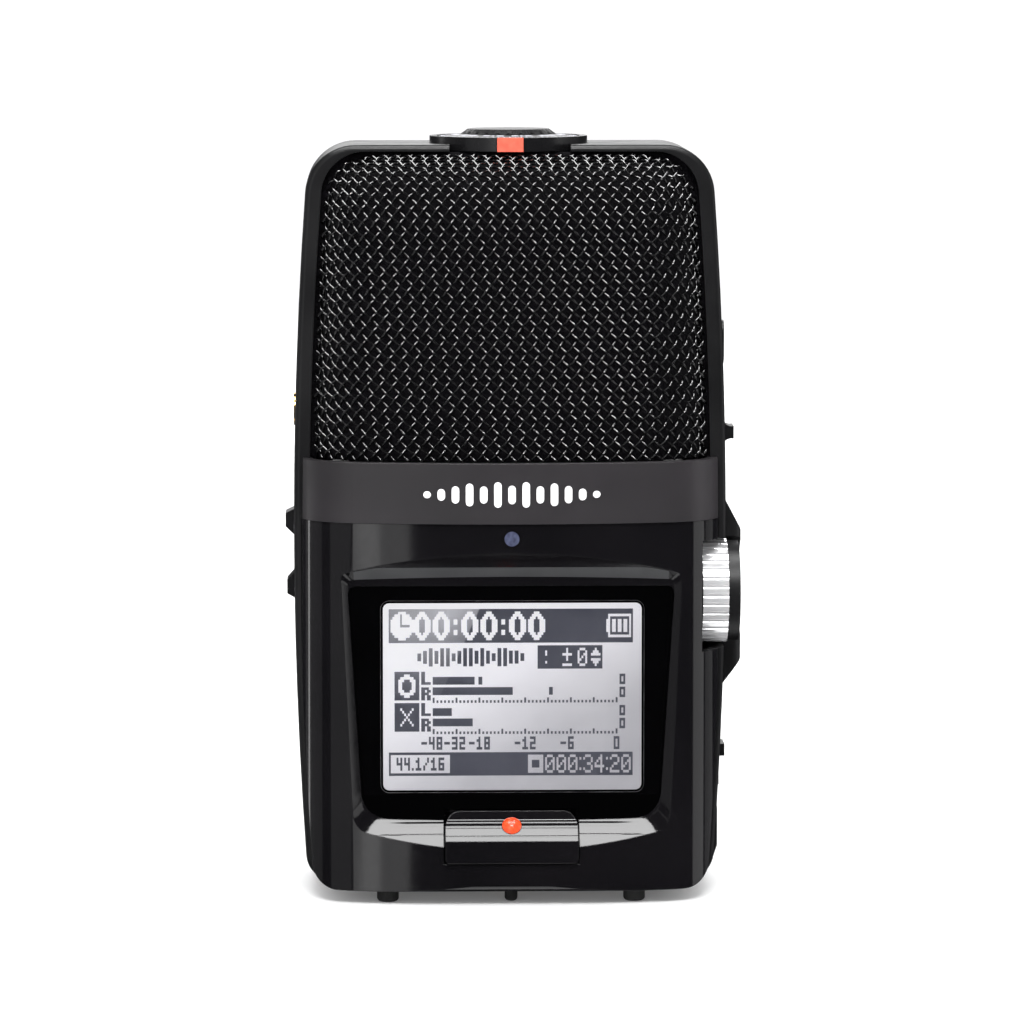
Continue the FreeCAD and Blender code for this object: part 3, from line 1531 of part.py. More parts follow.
card_door_out = cell("card_door_out", 30.7, "outer face of the card door")
card_door_in = cell("card_door_in", 29.2, "inner face of the card door")
card_door_slope = cell("card_door_slope", 1.8, "height of the slope at the card door's foot")
card_plate = prism(
    "card_plate",
    "y",
    card_door_y,
    [
        (card_door_in, card_door_pin_z),
        (card_door_pin_x + door_barrel, card_door_pin_z),
        (card_door_out, card_door_pin_z + card_door_slope),
        (card_door_out, card_door_top),
        (card_door_in, card_door_top),
    ],
)
card_barrel = rod("card_barrel", door_barrel, "y", card_door_y, (card_door_pin_x, card_door_pin_z))
card_bore = rod(
    "card_bore",
    door_pin_radius + fit,
    "y",
    (card_door_y[0] - 1, card_door_y[1] + 1),
    (card_door_pin_x, card_door_pin_z),
)
keep("card_door", cut("card_door", fuse("card_door_solid", card_plate, card_barrel), card_bore))
card_pin = rod(
    "card_door_pin",
    door_pin_radius,
    "y",
    (card_door_y[0] - door_pin_reach, card_door_y[1] + door_pin_reach),
    (card_door_pin_x, card_door_pin_z),
)
keep("card_door_pin", card_pin)

card_x = (
    cell("card_inner", 12.2, "inner end of the memory card"),
    cell("card_outer", 27.2, "outer end of the memory card"),
)
card_y = (
    cell("card_front", -9.0, "front edge of the memory card"),
    cell("card_back", 2.0, "back edge of the memory card"),
)
card_z = (
    cell("card_low", 7.6, "underside of the memory card"),
    cell("card_high", 8.6, "top of the memory card"),
)
keep("memory_card", box("memory_card", card_x, card_y, card_z))
socket_gap = cell("socket_gap", 0.1, "gap between the card and its socket")
socket_wall = cell("socket_wall", 0.3, "wall of the card socket")
card_proud = cell("card_proud", 1.2, "how far the card stands out of its socket")


def grown(span, amount):
    return span[0] - amount, span[1] + amount


card_socket = cut(
    "card_socket",
    box(
        "card_socket_can",
        (card_x[0] - socket_gap - socket_wall, card_x[1] - card_proud),
        grown(card_y, socket_gap + socket_wall),
        grown(card_z, socket_gap + socket_wall),
    ),
    box(
        "card_socket_room",
        (card_x[0] - socket_gap, card_x[1]),
        grown(card_y, socket_gap),
        grown(card_z, socket_gap),
    ),
)
keep("card_socket", card_socket)

# ---- Jacks and port on the left side ----

jack_bore = cell("jack_bore", 1.8, "bore for a 3.5 mm plug")
jack_depth = cell("jack_depth", 14.0, "depth of a jack's bore")
jack_half = cell("jack_half", 3.0, "half the width of a jack's body")
jack_body = cell("jack_body", 28.4, "outer end of a jack's body")
jack_proud = cell("jack_proud", 0.3, "how far the line input's ring stands out")
jack_wall = cell("jack_wall", 0.8, "wall behind a jack's bore")


def jack_body_block(label, height, end):
    """The square part of a jack inside the housing."""
    y = (-jack_half, jack_half)
    return box(label, (-jack_body, jack_wall - end), y, (height - jack_half, height + jack_half))


def jack_bore_rod(label, height, mouth):
    """The bore that a plug goes into."""
    return rod(label, jack_bore, "x", (-mouth - 1, jack_depth - mouth), (0, height))


line_mouth = face(line_z) + jack_proud
line_end = line_mouth - jack_depth
line_body = cut(
    "line_jack_body",
    jack_body_block("line_block", line_z, line_end),
    jack_bore_rod("line_bore", line_z, line_mouth),
)
keep("line_jack_body", line_body)
line_ring = cut(
    "line_jack_ring",
    rod("line_barrel", jack_ring, "x", (-line_mouth, -jack_body), (0, line_z)),
    jack_bore_rod("line_ring_bore", line_z, line_mouth),
)
keep("line_jack_ring", line_ring)

phones_mouth = face(phones_z)
phones_jack = cut(
    "phones_jack",
    fuse(
        "phones_solid",
        jack_body_block("phones_block", phones_z, phones_mouth - jack_depth),
        rod("phones_barrel", jack_ring, "x", (-phones_mouth, -jack_body), (0, phones_z)),
    ),
    jack_bore_rod("phones_bore", phones_z, phones_mouth),
)
keep("phones_jack", phones_jack)

usb_face = face(usb_z - usb_half)
usb_wall = cell("usb_wall", 0.4, "wall of the USB port")
usb_depth = cell("usb_depth", 7.5, "depth of the USB port")
usb_tongue = cell("usb_tongue", 0.5, "half the thickness of the USB port's tongue")
usb_set_back = cell("usb_set_back", 1.2, "how far the USB port's tongue is set back")
usb_blade_gap = cell("usb_blade_gap", 1.4, "space above and below the USB port's tongue")
usb_shell = cut(
    "usb_shell",
    box("usb_can", (-usb_face, -usb_face + usb_depth), (-usb_y, usb_y), (usb_z - usb_half, usb_z + usb_half)),
    box(
        "usb_room",
        (-usb_face - 1, -usb_face + usb_depth - usb_wall),
        (usb_wall - usb_y, usb_y - usb_wall),
        (usb_z - usb_half + usb_wall, usb_z + usb_half - usb_wall),
    ),
)
usb_blade = box(
    "usb_blade",
    (-usb_face + usb_set_back, -usb_face + usb_depth),
    (-usb_tongue, usb_tongue),
    (usb_z - usb_half + usb_blade_gap, usb_z + usb_half - usb_blade_gap),
)
keep("usb_port", fuse("usb_port", usb_shell, usb_blade))

# ---- Circuit boards, microphones and speaker ----

main_board_y = cell("main_board_y", 0.6, "front face of the main circuit board")
main_board_half = cell("main_board_half", 16.4, "half the main circuit board's width")
main_board_z = (
    cell("main_board_low", 11.0, "lower edge of the main circuit board"),
    cell("main_board_high", 76.0, "upper edge of the main circuit board"),
)
keep(
    "main_board",
    slab("main_board", main_board_half, (main_board_y, main_board_y + board), main_board_z),
)

capsule_radius = cell("capsule_radius", 4.8, "microphone capsule")
capsule_length = cell("capsule_length", 5.5, "length of a microphone capsule")
capsule_z = cell("capsule_z", 88.0, "microphone capsules above the table")
mic_board_z = cell("mic_board_z", 78.0, "underside of the microphone board")
mic_board_half = cell("mic_board_half", 19.5, "half the microphone board's width")
mic_board_y = cell("mic_board_y", 8.0, "half the microphone board's depth")
cradle_floor = cell("cradle_floor", 2.4, "cradle below the microphone capsules")


def capsule(label, x, y, heading):
    """A microphone capsule on its side. Heading is its axis, in degrees from the right."""
    cylinder = document.addObject("Part::Cylinder", label)
    bind(cylinder, "Radius", capsule_radius)
    bind(cylinder, "Height", capsule_length)
    turn = FreeCAD.Rotation(Vector(0, 0, 1), heading).multiply(
        FreeCAD.Rotation(Vector(0, 1, 0), 90)
    )
    forward = turn.multVec(Vector(0, 0, 1))
    half = capsule_length / 2
    move(cylinder, x - half * forward.x, y - half * forward.y, capsule_z)
    cylinder.Placement = FreeCAD.Placement(cylinder.Placement.Base, turn)
    return cylinder


side_x = cell("side_x", 15.2, "side capsules from the middle")
middle_y = cell("middle_y", -5.4, "middle capsule, front to back")
pair_x = cell("pair_x", 6.3, "crossed pair from the middle")
pair_y = cell("pair_y", 3.4, "crossed pair, front to back")
capsules = [
    keep("mic_middle", capsule("mic_middle", dim(0), middle_y, 270)),
    keep("mic_side_left", capsule("mic_side_left", -side_x, dim(0), 180)),
    keep("mic_side_right", capsule("mic_side_right", side_x, dim(0), 0)),
    keep("mic_cross_left", capsule("mic_cross_left", -pair_x, pair_y, 135)),
    keep("mic_cross_right", capsule("mic_cross_right", pair_x, pair_y, 45)),
]
cradle = cut(
    "mic_cradle",
    slab(
        "cradle_block",
        mic_board_half,
        (-mic_board_y, mic_board_y),
        (mic_board_z + board, capsule_z - capsule_radius + cradle_floor),
    ),
    *capsules,
)
keep("mic_cradle", cradle)
mic_board = slab(
    "mic_board", mic_board_half, (-mic_board_y, mic_board_y), (mic_board_z, mic_board_z + board)
)
keep("mic_board", mic_board)

speaker_half = cell("speaker_half", 7.5, "half the speaker's width")
speaker_low = cell("speaker_low", 57.8, "underside of the speaker")
speaker_y = (
    cell("speaker_front", 16.5, "front of the speaker"),
    cell("speaker_back", 19.4, "back of the speaker, against the band"),
)
keep("speaker", slab("speaker", speaker_half, speaker_y, (speaker_low, band_high - 2 * gap)))

# ---- Check every object and write the sub-parts ----

document.recompute()
faults = [
    thing.Name for thing in document.Objects if "Invalid" in thing.State or "Error" in thing.State
]
faults += [
    label for label, thing in parts.items() if thing.Shape.isNull() or not thing.Shape.isValid()
]
if faults:
    raise RuntimeError("These objects failed: " + ", ".join(faults))

os.makedirs("parts", exist_ok=True)
for label, thing in parts.items():
    thing.Shape.exportStep(f"parts/{label}.step")
print(len(parts), "sub-parts written")
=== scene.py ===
import math

import bmesh
import bpy
import numpy as np
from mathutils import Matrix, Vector
from mathutils.bvhtree import BVHTree


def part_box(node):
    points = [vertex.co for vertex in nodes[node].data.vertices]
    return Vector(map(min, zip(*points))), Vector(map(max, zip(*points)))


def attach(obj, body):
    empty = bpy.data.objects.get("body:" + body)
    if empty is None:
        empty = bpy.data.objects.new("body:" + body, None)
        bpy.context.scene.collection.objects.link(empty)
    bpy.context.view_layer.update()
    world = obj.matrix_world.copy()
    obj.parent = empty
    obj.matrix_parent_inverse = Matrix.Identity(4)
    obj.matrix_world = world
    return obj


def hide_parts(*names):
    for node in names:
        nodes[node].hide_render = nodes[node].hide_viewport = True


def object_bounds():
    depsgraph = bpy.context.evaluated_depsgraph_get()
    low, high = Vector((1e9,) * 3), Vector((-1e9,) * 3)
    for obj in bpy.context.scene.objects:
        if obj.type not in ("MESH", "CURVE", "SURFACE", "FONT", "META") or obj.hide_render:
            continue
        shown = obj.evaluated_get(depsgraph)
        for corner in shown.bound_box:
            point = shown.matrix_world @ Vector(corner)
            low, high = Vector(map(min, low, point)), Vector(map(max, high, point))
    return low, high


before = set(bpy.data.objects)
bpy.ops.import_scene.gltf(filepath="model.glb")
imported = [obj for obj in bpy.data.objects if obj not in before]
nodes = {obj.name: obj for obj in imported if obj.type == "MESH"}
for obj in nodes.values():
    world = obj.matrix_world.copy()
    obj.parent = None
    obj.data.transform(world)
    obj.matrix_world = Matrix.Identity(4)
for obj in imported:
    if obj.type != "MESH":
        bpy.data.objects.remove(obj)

# A handheld stereo voice recorder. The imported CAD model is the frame: its nodes keep their shapes
# and get finished materials, and the woven grilles, the picture on the display and the printed
# marks are built here. Lengths are written in millimetres and turned into metres as they are used.

MM = 0.001
cad_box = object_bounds()


def span(node):
    """A node's lowest and highest corner, in millimetres."""
    low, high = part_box(node)
    return low / MM, high / MM


# ---- Meshes ----


def placed(name, data):
    """A new object in the scene."""
    thing = bpy.data.objects.new(name, data)
    bpy.context.scene.collection.objects.link(thing)
    return thing


def new_object(name, points, faces, material, body="housing", smooth=False):
    """A mesh object from points in millimetres, riding on a CAD body."""
    mesh = bpy.data.meshes.new(name)
    scaled = (np.asarray(points, float) * MM).tolist()
    mesh.from_pydata(scaled, [], [tuple(int(i) for i in face) for face in faces])
    mesh.validate()
    mesh.materials.append(material)
    mesh.polygons.foreach_set("use_smooth", [smooth] * len(mesh.polygons))
    thing = placed(name, mesh)
    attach(thing, body)
    return thing


def surface_tree(node):
    mesh = nodes[node].data
    corners = [vertex.co.copy() for vertex in mesh.vertices]
    return BVHTree.FromPolygons(corners, [tuple(face.vertices) for face in mesh.polygons])


# ---- Materials ----

NOISE_DETAIL = 3.0
NOISE_LOW, NOISE_HIGH = 0.3, 0.7
MOULDED_EDGE, POLISHED_EDGE = 0.18, 0.22
TONE_DRIFT, WEAR_PATCH = 14, 6


class Look:
    """A procedural material. Coordinates are the object's own, in metres."""

    def __init__(self, name, roughness, metallic=0.0, specular=0.5, ior=1.5):
        self.material = bpy.data.materials.new(name)
        self.material.use_nodes = True
        self.tree = self.material.node_tree
        self.shader = self.tree.nodes["Principled BSDF"]
        self.shader.inputs["Roughness"].default_value = roughness
        self.shader.inputs["Metallic"].default_value = metallic
        self.shader.inputs["Specular IOR Level"].default_value = specular
        self.shader.inputs["IOR"].default_value = ior
        self.coordinates = self.tree.nodes.new("ShaderNodeTexCoord").outputs["Object"]
        self.height = None

    def node(self, kind, **settings):
        made = self.tree.nodes.new(kind)
        for key, value in settings.items():
            setattr(made, key, value)
        return made

    def link(self, output, target):
        self.tree.links.new(output, target)

    def stretched(self, scale):
        """Coordinates scaled by a different amount along each axis."""
        mapping = self.node("ShaderNodeMapping")
        self.link(self.coordinates, mapping.inputs["Vector"])
        mapping.inputs["Scale"].default_value = scale
        return mapping.outputs["Vector"]

    def noise(self, size, detail=NOISE_DETAIL, stretch=None):
        """Noise whose blotches are about size millimetres across."""
        texture = self.node("ShaderNodeTexNoise")
        texture.inputs["Scale"].default_value = 1 / (size * MM)
        texture.inputs["Detail"].default_value = detail
        place = self.stretched(stretch) if stretch else self.coordinates
        self.link(place, texture.inputs["Vector"])
        return texture.outputs["Fac"]

    def voronoi(self, size, feature="F1"):
        texture = self.node("ShaderNodeTexVoronoi", feature=feature)
        texture.inputs["Scale"].default_value = 1 / (size * MM)
        self.link(self.coordinates, texture.inputs["Vector"])
        return texture.outputs["Distance"]

    def wave(self, size, axis):
        """Parallel ridges, size millimetres apart."""
        texture = self.node("ShaderNodeTexWave", bands_direction=axis, wave_profile="SIN")
        texture.inputs["Scale"].default_value = math.pi / (10 * size * MM)
        self.link(self.coordinates, texture.inputs["Vector"])
        return texture.outputs["Fac"]

    def ramp(self, factor, stops):
        """Colours or greys along a factor."""
        ramp = self.node("ShaderNodeValToRGB")
        points = ramp.color_ramp.elements
        while len(points) < len(stops):
            points.new(0.5)
        for point, (place, colour) in zip(points, stops):
            point.position = place
            point.color = (*colour, 1.0)
        self.link(factor, ramp.inputs["Fac"])
        return ramp.outputs["Color"]

    def colour(self, output):
        self.link(output, self.shader.inputs["Base Color"])
        return self

    def tint(self, factor, dark, light, low=0.35, high=0.65):
        """Vary the base colour between two tones."""
        return self.colour(self.ramp(factor, [(low, dark), (high, light)]))

    def rough(self, factor, low, high):
        mapped = self.node("ShaderNodeMapRange")
        mapped.inputs["From Min"].default_value = NOISE_LOW
        mapped.inputs["From Max"].default_value = NOISE_HIGH
        mapped.inputs["To Min"].default_value = low
        mapped.inputs["To Max"].default_value = high
        self.link(factor, mapped.inputs["Value"])
        self.link(mapped.outputs["Result"], self.shader.inputs["Roughness"])
        return self

    def bump(self, factor, depth, strength=1.0):
        """Raise the surface by up to depth millimetres. Bumps add up in the order given."""
        bump = self.node("ShaderNodeBump")
        bump.inputs["Strength"].default_value = strength
        bump.inputs["Distance"].default_value = depth * MM
        self.link(factor, bump.inputs["Height"])
        if self.height is not None:
            self.link(self.height, bump.inputs["Normal"])
        self.height = bump.outputs["Normal"]
        self.link(self.height, self.shader.inputs["Normal"])
        return self

    def soft_edges(self, radius):
        """Shade sharp edges as if they had a small radius, in millimetres."""
        bevel = self.node("ShaderNodeBevel", samples=4)
        bevel.inputs["Radius"].default_value = radius * MM
        self.height = bevel.outputs["Normal"]
        self.link(self.height, self.shader.inputs["Normal"])
        return self

    def put(self, socket, value):
        self.shader.inputs[socket].default_value = value
        return self


def moulded(name, dark, light, low, high, grain, depth):
    """Spark-eroded moulded plastic: fine grain, slow tone drift and handling polish."""
    look = Look(name, low)
    look.soft_edges(MOULDED_EDGE)
    look.tint(look.noise(TONE_DRIFT), dark, light)
    look.rough(look.noise(WEAR_PATCH, 5), low, high)
    look.bump(look.noise(grain, 2), depth)
    look.bump(look.voronoi(grain * 1.7), depth * 0.6, 0.5)
    return look


def polished(name, dark, light, low, high):
    """High-gloss moulding: faint swirl marks, dust specks and a slow moulded waviness."""
    look = Look(name, low)
    look.soft_edges(POLISHED_EDGE)
    look.tint(look.noise(22), dark, light)
    look.rough(look.noise(0.9, 6), low, high)
    look.bump(look.noise(9, 1), 0.004, 0.35)
    look.bump(look.noise(0.25, 2, (1.0, 1.0, 0.08)), 0.00025, 0.5)
    return look


def slanted(look, x_share, z_share, offset):
    """A factor that grows along a slanted direction of the front, per millimetre."""
    product = look.node("ShaderNodeVectorMath", operation="DOT_PRODUCT")
    look.link(look.coordinates, product.inputs[0])
    product.inputs[1].default_value = (x_share / MM, 0.0, z_share / MM)
    total = look.node("ShaderNodeMath", operation="ADD")
    look.link(product.outputs["Value"], total.inputs[0])
    total.inputs[1].default_value = offset
    return total.outputs["Value"]


def grey(value):
    return (value, value, value)


looks = {}

# Name: darkest and lightest tone, lowest and highest roughness, grain and its depth.
MOULDED_PLASTICS = {
    "housing_satin": ((0.0055, 0.0055, 0.0060), (0.0090, 0.0089, 0.0096), 0.30, 0.42, 0.22, 0.006),
    "bezel_satin": ((0.0050, 0.0050, 0.0056), (0.0080, 0.0078, 0.0086), 0.22, 0.32, 0.25, 0.003),
    "band_grey": ((0.018, 0.016, 0.018), (0.023, 0.020, 0.023), 0.36, 0.46, 0.18, 0.004),
    "rubber": ((0.010, 0.010, 0.010), (0.018, 0.018, 0.018), 0.62, 0.82, 0.30, 0.012),
    "holder_black": ((0.010, 0.010, 0.011), (0.017, 0.017, 0.018), 0.45, 0.6, 0.3, 0.01),
    "switch_black": ((0.016, 0.016, 0.017), (0.026, 0.026, 0.027), 0.4, 0.55, 0.25, 0.01),
    "card_black": ((0.012, 0.012, 0.014), (0.022, 0.022, 0.026), 0.3, 0.5, 0.2, 0.004),
}
for name, values in MOULDED_PLASTICS.items():
    looks[name] = moulded(name, *values)
satin = looks["housing_satin"]
satin.put("Specular IOR Level", 0.3)

gloss = polished("shell_gloss", (0.0030, 0.0028, 0.0034), (0.0046, 0.0042, 0.0050), 0.055, 0.10)
# The ledge below the window and the record button's upper facet are slightly dished, with a crease.
DISH_LOW, DISH_SPAN, DISH_DEPTH = 8.0, 6.0, 0.45
DISH = ((8.0, 0.0), (10.26, 0.0), (10.36, 0.067), (10.46, 0.0), (10.9, 0.0),
        (11.4, 0.03), (11.9, 0.12), (12.5, 0.31), (14.0, 0.89))
dish = gloss.ramp(
    slanted(gloss, 0.0, 1 / DISH_SPAN, -DISH_LOW / DISH_SPAN),
    [((level - DISH_LOW) / DISH_SPAN, grey(height)) for level, height in DISH],
)
dish.node.color_ramp.interpolation = "CARDINAL"
# It fades out towards the sides, and behind the window.
DISH_REACH, DISH_FULL, DISH_NONE = 22, 0.70, 0.93
DISH_TOP, DISH_FADE = 16, 4
sideways = gloss.node("ShaderNodeMath", operation="ABSOLUTE")
gloss.link(slanted(gloss, 1 / DISH_REACH, 0.0, 0.0), sideways.inputs[0])
narrow = gloss.ramp(sideways.outputs["Value"], [(DISH_FULL, grey(1.0)), (DISH_NONE, grey(0.0))])
lower = gloss.ramp(
    slanted(gloss, 0.0, 1 / DISH_FADE, -DISH_TOP / DISH_FADE),
    [(0.0, grey(1.0)), (1.0, grey(0.0))],
)
for limit in (narrow, lower):
    limited = gloss.node("ShaderNodeMath", operation="MULTIPLY")
    gloss.link(dish, limited.inputs[0])
    gloss.link(limit, limited.inputs[1])
    dish = limited.outputs["Value"]
gloss.bump(dish, DISH_DEPTH)
looks["shell_gloss"] = gloss

wire = Look("mesh_black", 0.18, 0.0, 1.0, 1.7)
wire.tint(wire.noise(3), (0.0010, 0.0010, 0.0011), (0.0022, 0.0022, 0.0024))
wire.rough(wire.noise(0.5), 0.10, 0.18)
wire.bump(wire.noise(0.12, 2), 0.004)
looks["mesh_black"] = wire

cloth = Look("cloth_black", 0.92)
cloth.tint(cloth.noise(0.35, 4), (0.0010, 0.0008, 0.0013), (0.0064, 0.0056, 0.0078), 0.3, 0.75)
cloth.bump(cloth.noise(0.28, 5), 0.12)
cloth.bump(cloth.voronoi(0.4), 0.06)
cloth.put("Specular IOR Level", 0.1).put("Sheen Weight", 0.03)
looks["cloth_black"] = cloth

# Only part metallic: the pale diffuse share of its colour is a painted reflection, standing in for
# the bright surround that the gloss doesn't see.
chrome = Look("chrome", 0.15, 0.6)
chrome.tint(chrome.noise(5), (0.70, 0.70, 0.71), (0.84, 0.84, 0.85))
chrome.rough(chrome.noise(0.8, 4), 0.12, 0.22)
chrome.bump(chrome.noise(0.15, 2, (0.1, 1.0, 1.0)), 0.002)
looks["chrome"] = chrome


def metal(name, dark, light, low, high, brushed):
    look = Look(name, low, 1.0)
    look.tint(look.noise(2.5), dark, light)
    look.rough(look.noise(0.6, 4), low, high)
    look.bump(look.noise(0.10, 2, brushed), 0.002)
    return look


# Name: darkest and lightest tone, lowest and highest roughness, and the stretch of the brushing.
METALS = {
    "gold": ((0.78, 0.52, 0.20), (0.88, 0.62, 0.28), 0.16, 0.26, (0.1, 1, 1)),
    "brass": ((0.55, 0.42, 0.22), (0.68, 0.54, 0.30), 0.22, 0.36, (1, 1, 0.1)),
    "steel": ((0.42, 0.42, 0.43), (0.56, 0.56, 0.57), 0.20, 0.34, (1, 0.1, 1)),
    "capsule": ((0.40, 0.41, 0.43), (0.52, 0.53, 0.55), 0.22, 0.36, (1, 1, 0.2)),
    "screw_black": ((0.035, 0.035, 0.037), (0.07, 0.07, 0.072), 0.3, 0.45, (1, 0.2, 1)),
}
for name, values in METALS.items():
    looks[name] = metal(name, *values)

board = Look("board_green", 0.35)
board.tint(board.noise(1.1, 5), (0.006, 0.055, 0.020), (0.012, 0.085, 0.032), 0.42, 0.58)
board.rough(board.noise(3), 0.28, 0.42)
board.bump(board.voronoi(1.4, "DISTANCE_TO_EDGE"), 0.03, 0.4)
looks["board_green"] = board

wrap = Look("battery_wrap", 0.25)
wrap.tint(wrap.noise(16), (0.055, 0.058, 0.065), (0.10, 0.105, 0.115))
wrap.rough(wrap.noise(2), 0.2, 0.34)
wrap.bump(wrap.noise(4, 2), 0.01, 0.4)
looks["battery_wrap"] = wrap

red_lens = Look("lens_red", 0.22)
red_lens.tint(red_lens.noise(0.9), (0.70, 0.050, 0.014), (0.88, 0.085, 0.024))
red_lens.rough(red_lens.noise(0.5), 0.16, 0.28)
red_lens.bump(red_lens.noise(0.2), 0.003)
red_lens.put("Subsurface Weight", 0.25).put("Subsurface Scale", 0.0006)
# A faint painted glow: the emission brightens the lens beyond what the lights give it.
red_lens.put("Emission Color", (1.0, 0.10, 0.03, 1.0)).put("Emission Strength", 0.16)
looks["lens_red"] = red_lens

grey_lens = Look("lens_grey", 0.2)
grey_lens.tint(grey_lens.noise(0.7), (0.030, 0.034, 0.062), (0.062, 0.070, 0.120))
grey_lens.rough(grey_lens.noise(0.4), 0.14, 0.26)
grey_lens.bump(grey_lens.noise(0.2), 0.002)
looks["lens_grey"] = grey_lens

index_red = Look("index_red", 0.42)
index_red.tint(index_red.noise(1.2), (0.66, 0.090, 0.050), (0.80, 0.125, 0.072))
index_red.rough(index_red.noise(0.5), 0.36, 0.5)
index_red.bump(index_red.noise(0.18), 0.005)
looks["index_red"] = index_red

glow = Look("backlight_white", 0.7)
glow.tint(glow.noise(3), (0.78, 0.80, 0.84), (0.88, 0.89, 0.92))
glow.bump(glow.voronoi(0.5), 0.01)
looks["backlight_white"] = glow

window = Look("window_clear", 0.02, 0.0, 0.5, 1.49)
window.tint(window.noise(30), (0.97, 0.97, 0.98), (1.0, 1.0, 1.0))
window.rough(window.noise(1.5, 5), 0.006, 0.02)
window.bump(window.noise(12, 1), 0.001, 0.15)
window.put("Transmission Weight", 1.0)
looks["window_clear"] = window

# The display's backlit ground glows, with a painted glare over it: its glow is brightest at its
# upper left and falls off towards the far corner.
INK_GLOW, GROUND_GLOW = 0.74, 0.9
GROUND_GLARE_X, GROUND_GLARE_Z, GROUND_GLARE_START = -0.0129, 0.0235, -0.069
lcd = Look("lcd_pale", 0.5)
lcd.tint(lcd.noise(6), (0.21, 0.21, 0.23), (0.27, 0.27, 0.29))
glow_and_glare = lcd.ramp(
    slanted(lcd, GROUND_GLARE_X, GROUND_GLARE_Z, GROUND_GLARE_START),
    [
        (0.2, (0.40, 0.395, 0.42)),
        (0.42, (0.48, 0.475, 0.50)),
        (0.74, (0.90, 0.89, 0.93)),
        (1.0, (0.98, 0.98, 1.0)),
    ],
)
lcd.link(glow_and_glare, lcd.shader.inputs["Emission Color"])
lcd.put("Emission Strength", GROUND_GLOW)
lcd.bump(lcd.wave(0.28, "X"), 0.002, 0.3)
looks["lcd_pale"] = lcd

# The dots are dark slate. A painted glare, a pale reflection mixed into the dots' colour and glow,
# lies over the display's upper left and ends along a slant.
ink = Look("lcd_ink_and_glare", 0.5)
slate = ink.ramp(ink.noise(5), [(0.3, (0.066, 0.069, 0.088)), (0.7, (0.080, 0.083, 0.104))])

# Across the slant the painted glare is nothing, then a sharp rise, a crest and a slow fall over 20
# mm.
GLARE_SPAN = 20
GLARE_EDGE_X, GLARE_EDGE_Z = -4.5, 43.0
SLANT_X, SLANT_Z = -0.912 / GLARE_SPAN, 0.409 / GLARE_SPAN
SLANT_START = -(SLANT_X * GLARE_EDGE_X + SLANT_Z * GLARE_EDGE_Z)
painted_glare = ink.ramp(
    slanted(ink, SLANT_X, SLANT_Z, SLANT_START),
    [
        (0.0, grey(0.0)),
        (0.012, grey(0.62)),
        (0.20, grey(1.0)),
        (0.42, grey(0.72)),
        (0.9, grey(0.45)),
    ],
)
# Down the display the painted glare is full at the top bar, and nothing below the level bars.
FALL_LOW, FALL_SPAN = 17.0, 26.0
fall = ink.ramp(
    slanted(ink, 0.0, 1.0 / FALL_SPAN, -FALL_LOW / FALL_SPAN),
    [(0.46, grey(0.0)), (0.62, grey(0.12)), (0.84, grey(0.42)), (1.0, grey(0.85))],
)
glare_share = ink.node("ShaderNodeMath", operation="MULTIPLY")
ink.link(painted_glare, glare_share.inputs[0])
ink.link(fall, glare_share.inputs[1])
ink_and_glare = ink.node("ShaderNodeMix", data_type="RGBA")
ink.link(glare_share.outputs["Value"], ink_and_glare.inputs["Factor"])
ink.link(slate, ink_and_glare.inputs["A"])
ink_and_glare.inputs["B"].default_value = (0.60, 0.60, 0.63, 1.0)
ink.colour(ink_and_glare.outputs["Result"])
ink.link(ink_and_glare.outputs["Result"], ink.shader.inputs["Emission Color"])
ink.put("Emission Strength", INK_GLOW)
ink.bump(ink.noise(0.4), 0.001)

mask = Look("window_mask", 0.4)
mask.put("Specular IOR Level", 0.0)
mask.tint(mask.noise(12), (0.0008, 0.0007, 0.0010), (0.0018, 0.0016, 0.0022))
mask.bump(mask.noise(0.4), 0.001)

print_white = Look("print_white", 0.5)
print_white.tint(print_white.noise(0.5, 4), (0.52, 0.52, 0.58), (0.70, 0.70, 0.76))
print_white.bump(print_white.noise(0.12), 0.004)

rim_grey = Look("window_rim", 0.3)
rim_grey.tint(rim_grey.noise(4), (0.10, 0.10, 0.11), (0.22, 0.22, 0.23))
rim_grey.bump(rim_grey.noise(0.2), 0.002)

# The strip above the display is grey as a painted reflection: it stands for the floor seen in the
# recess's downward slope, which the gloss doesn't show.
slope_reflection = Look("slope_reflection_grey", 0.36)
slope_reflection.tint(slope_reflection.noise(8), (0.034, 0.035, 0.037), (0.044, 0.045, 0.047))
slope_reflection.rough(slope_reflection.noise(3), 0.32, 0.42)
slope_reflection.bump(slope_reflection.noise(0.25, 2), 0.003)

badge = Look("badge_white", 0.30)
badge.tint(badge.noise(1.5), (0.78, 0.78, 0.79), (0.88, 0.88, 0.89))
badge.rough(badge.noise(0.5), 0.24, 0.38)
badge.bump(badge.noise(0.15), 0.003)

for name, thing in nodes.items():
    for slot in thing.material_slots:
        kind = "bezel_satin" if name == "dial_bezel" else slot.material.name.split(".")[0]
        slot.material = looks[kind].material

# The lens's painted glow doesn't show again in the gloss around it.
nodes["record_lens"].visible_glossy = False

# ---- Woven grilles and the cloth behind them ----

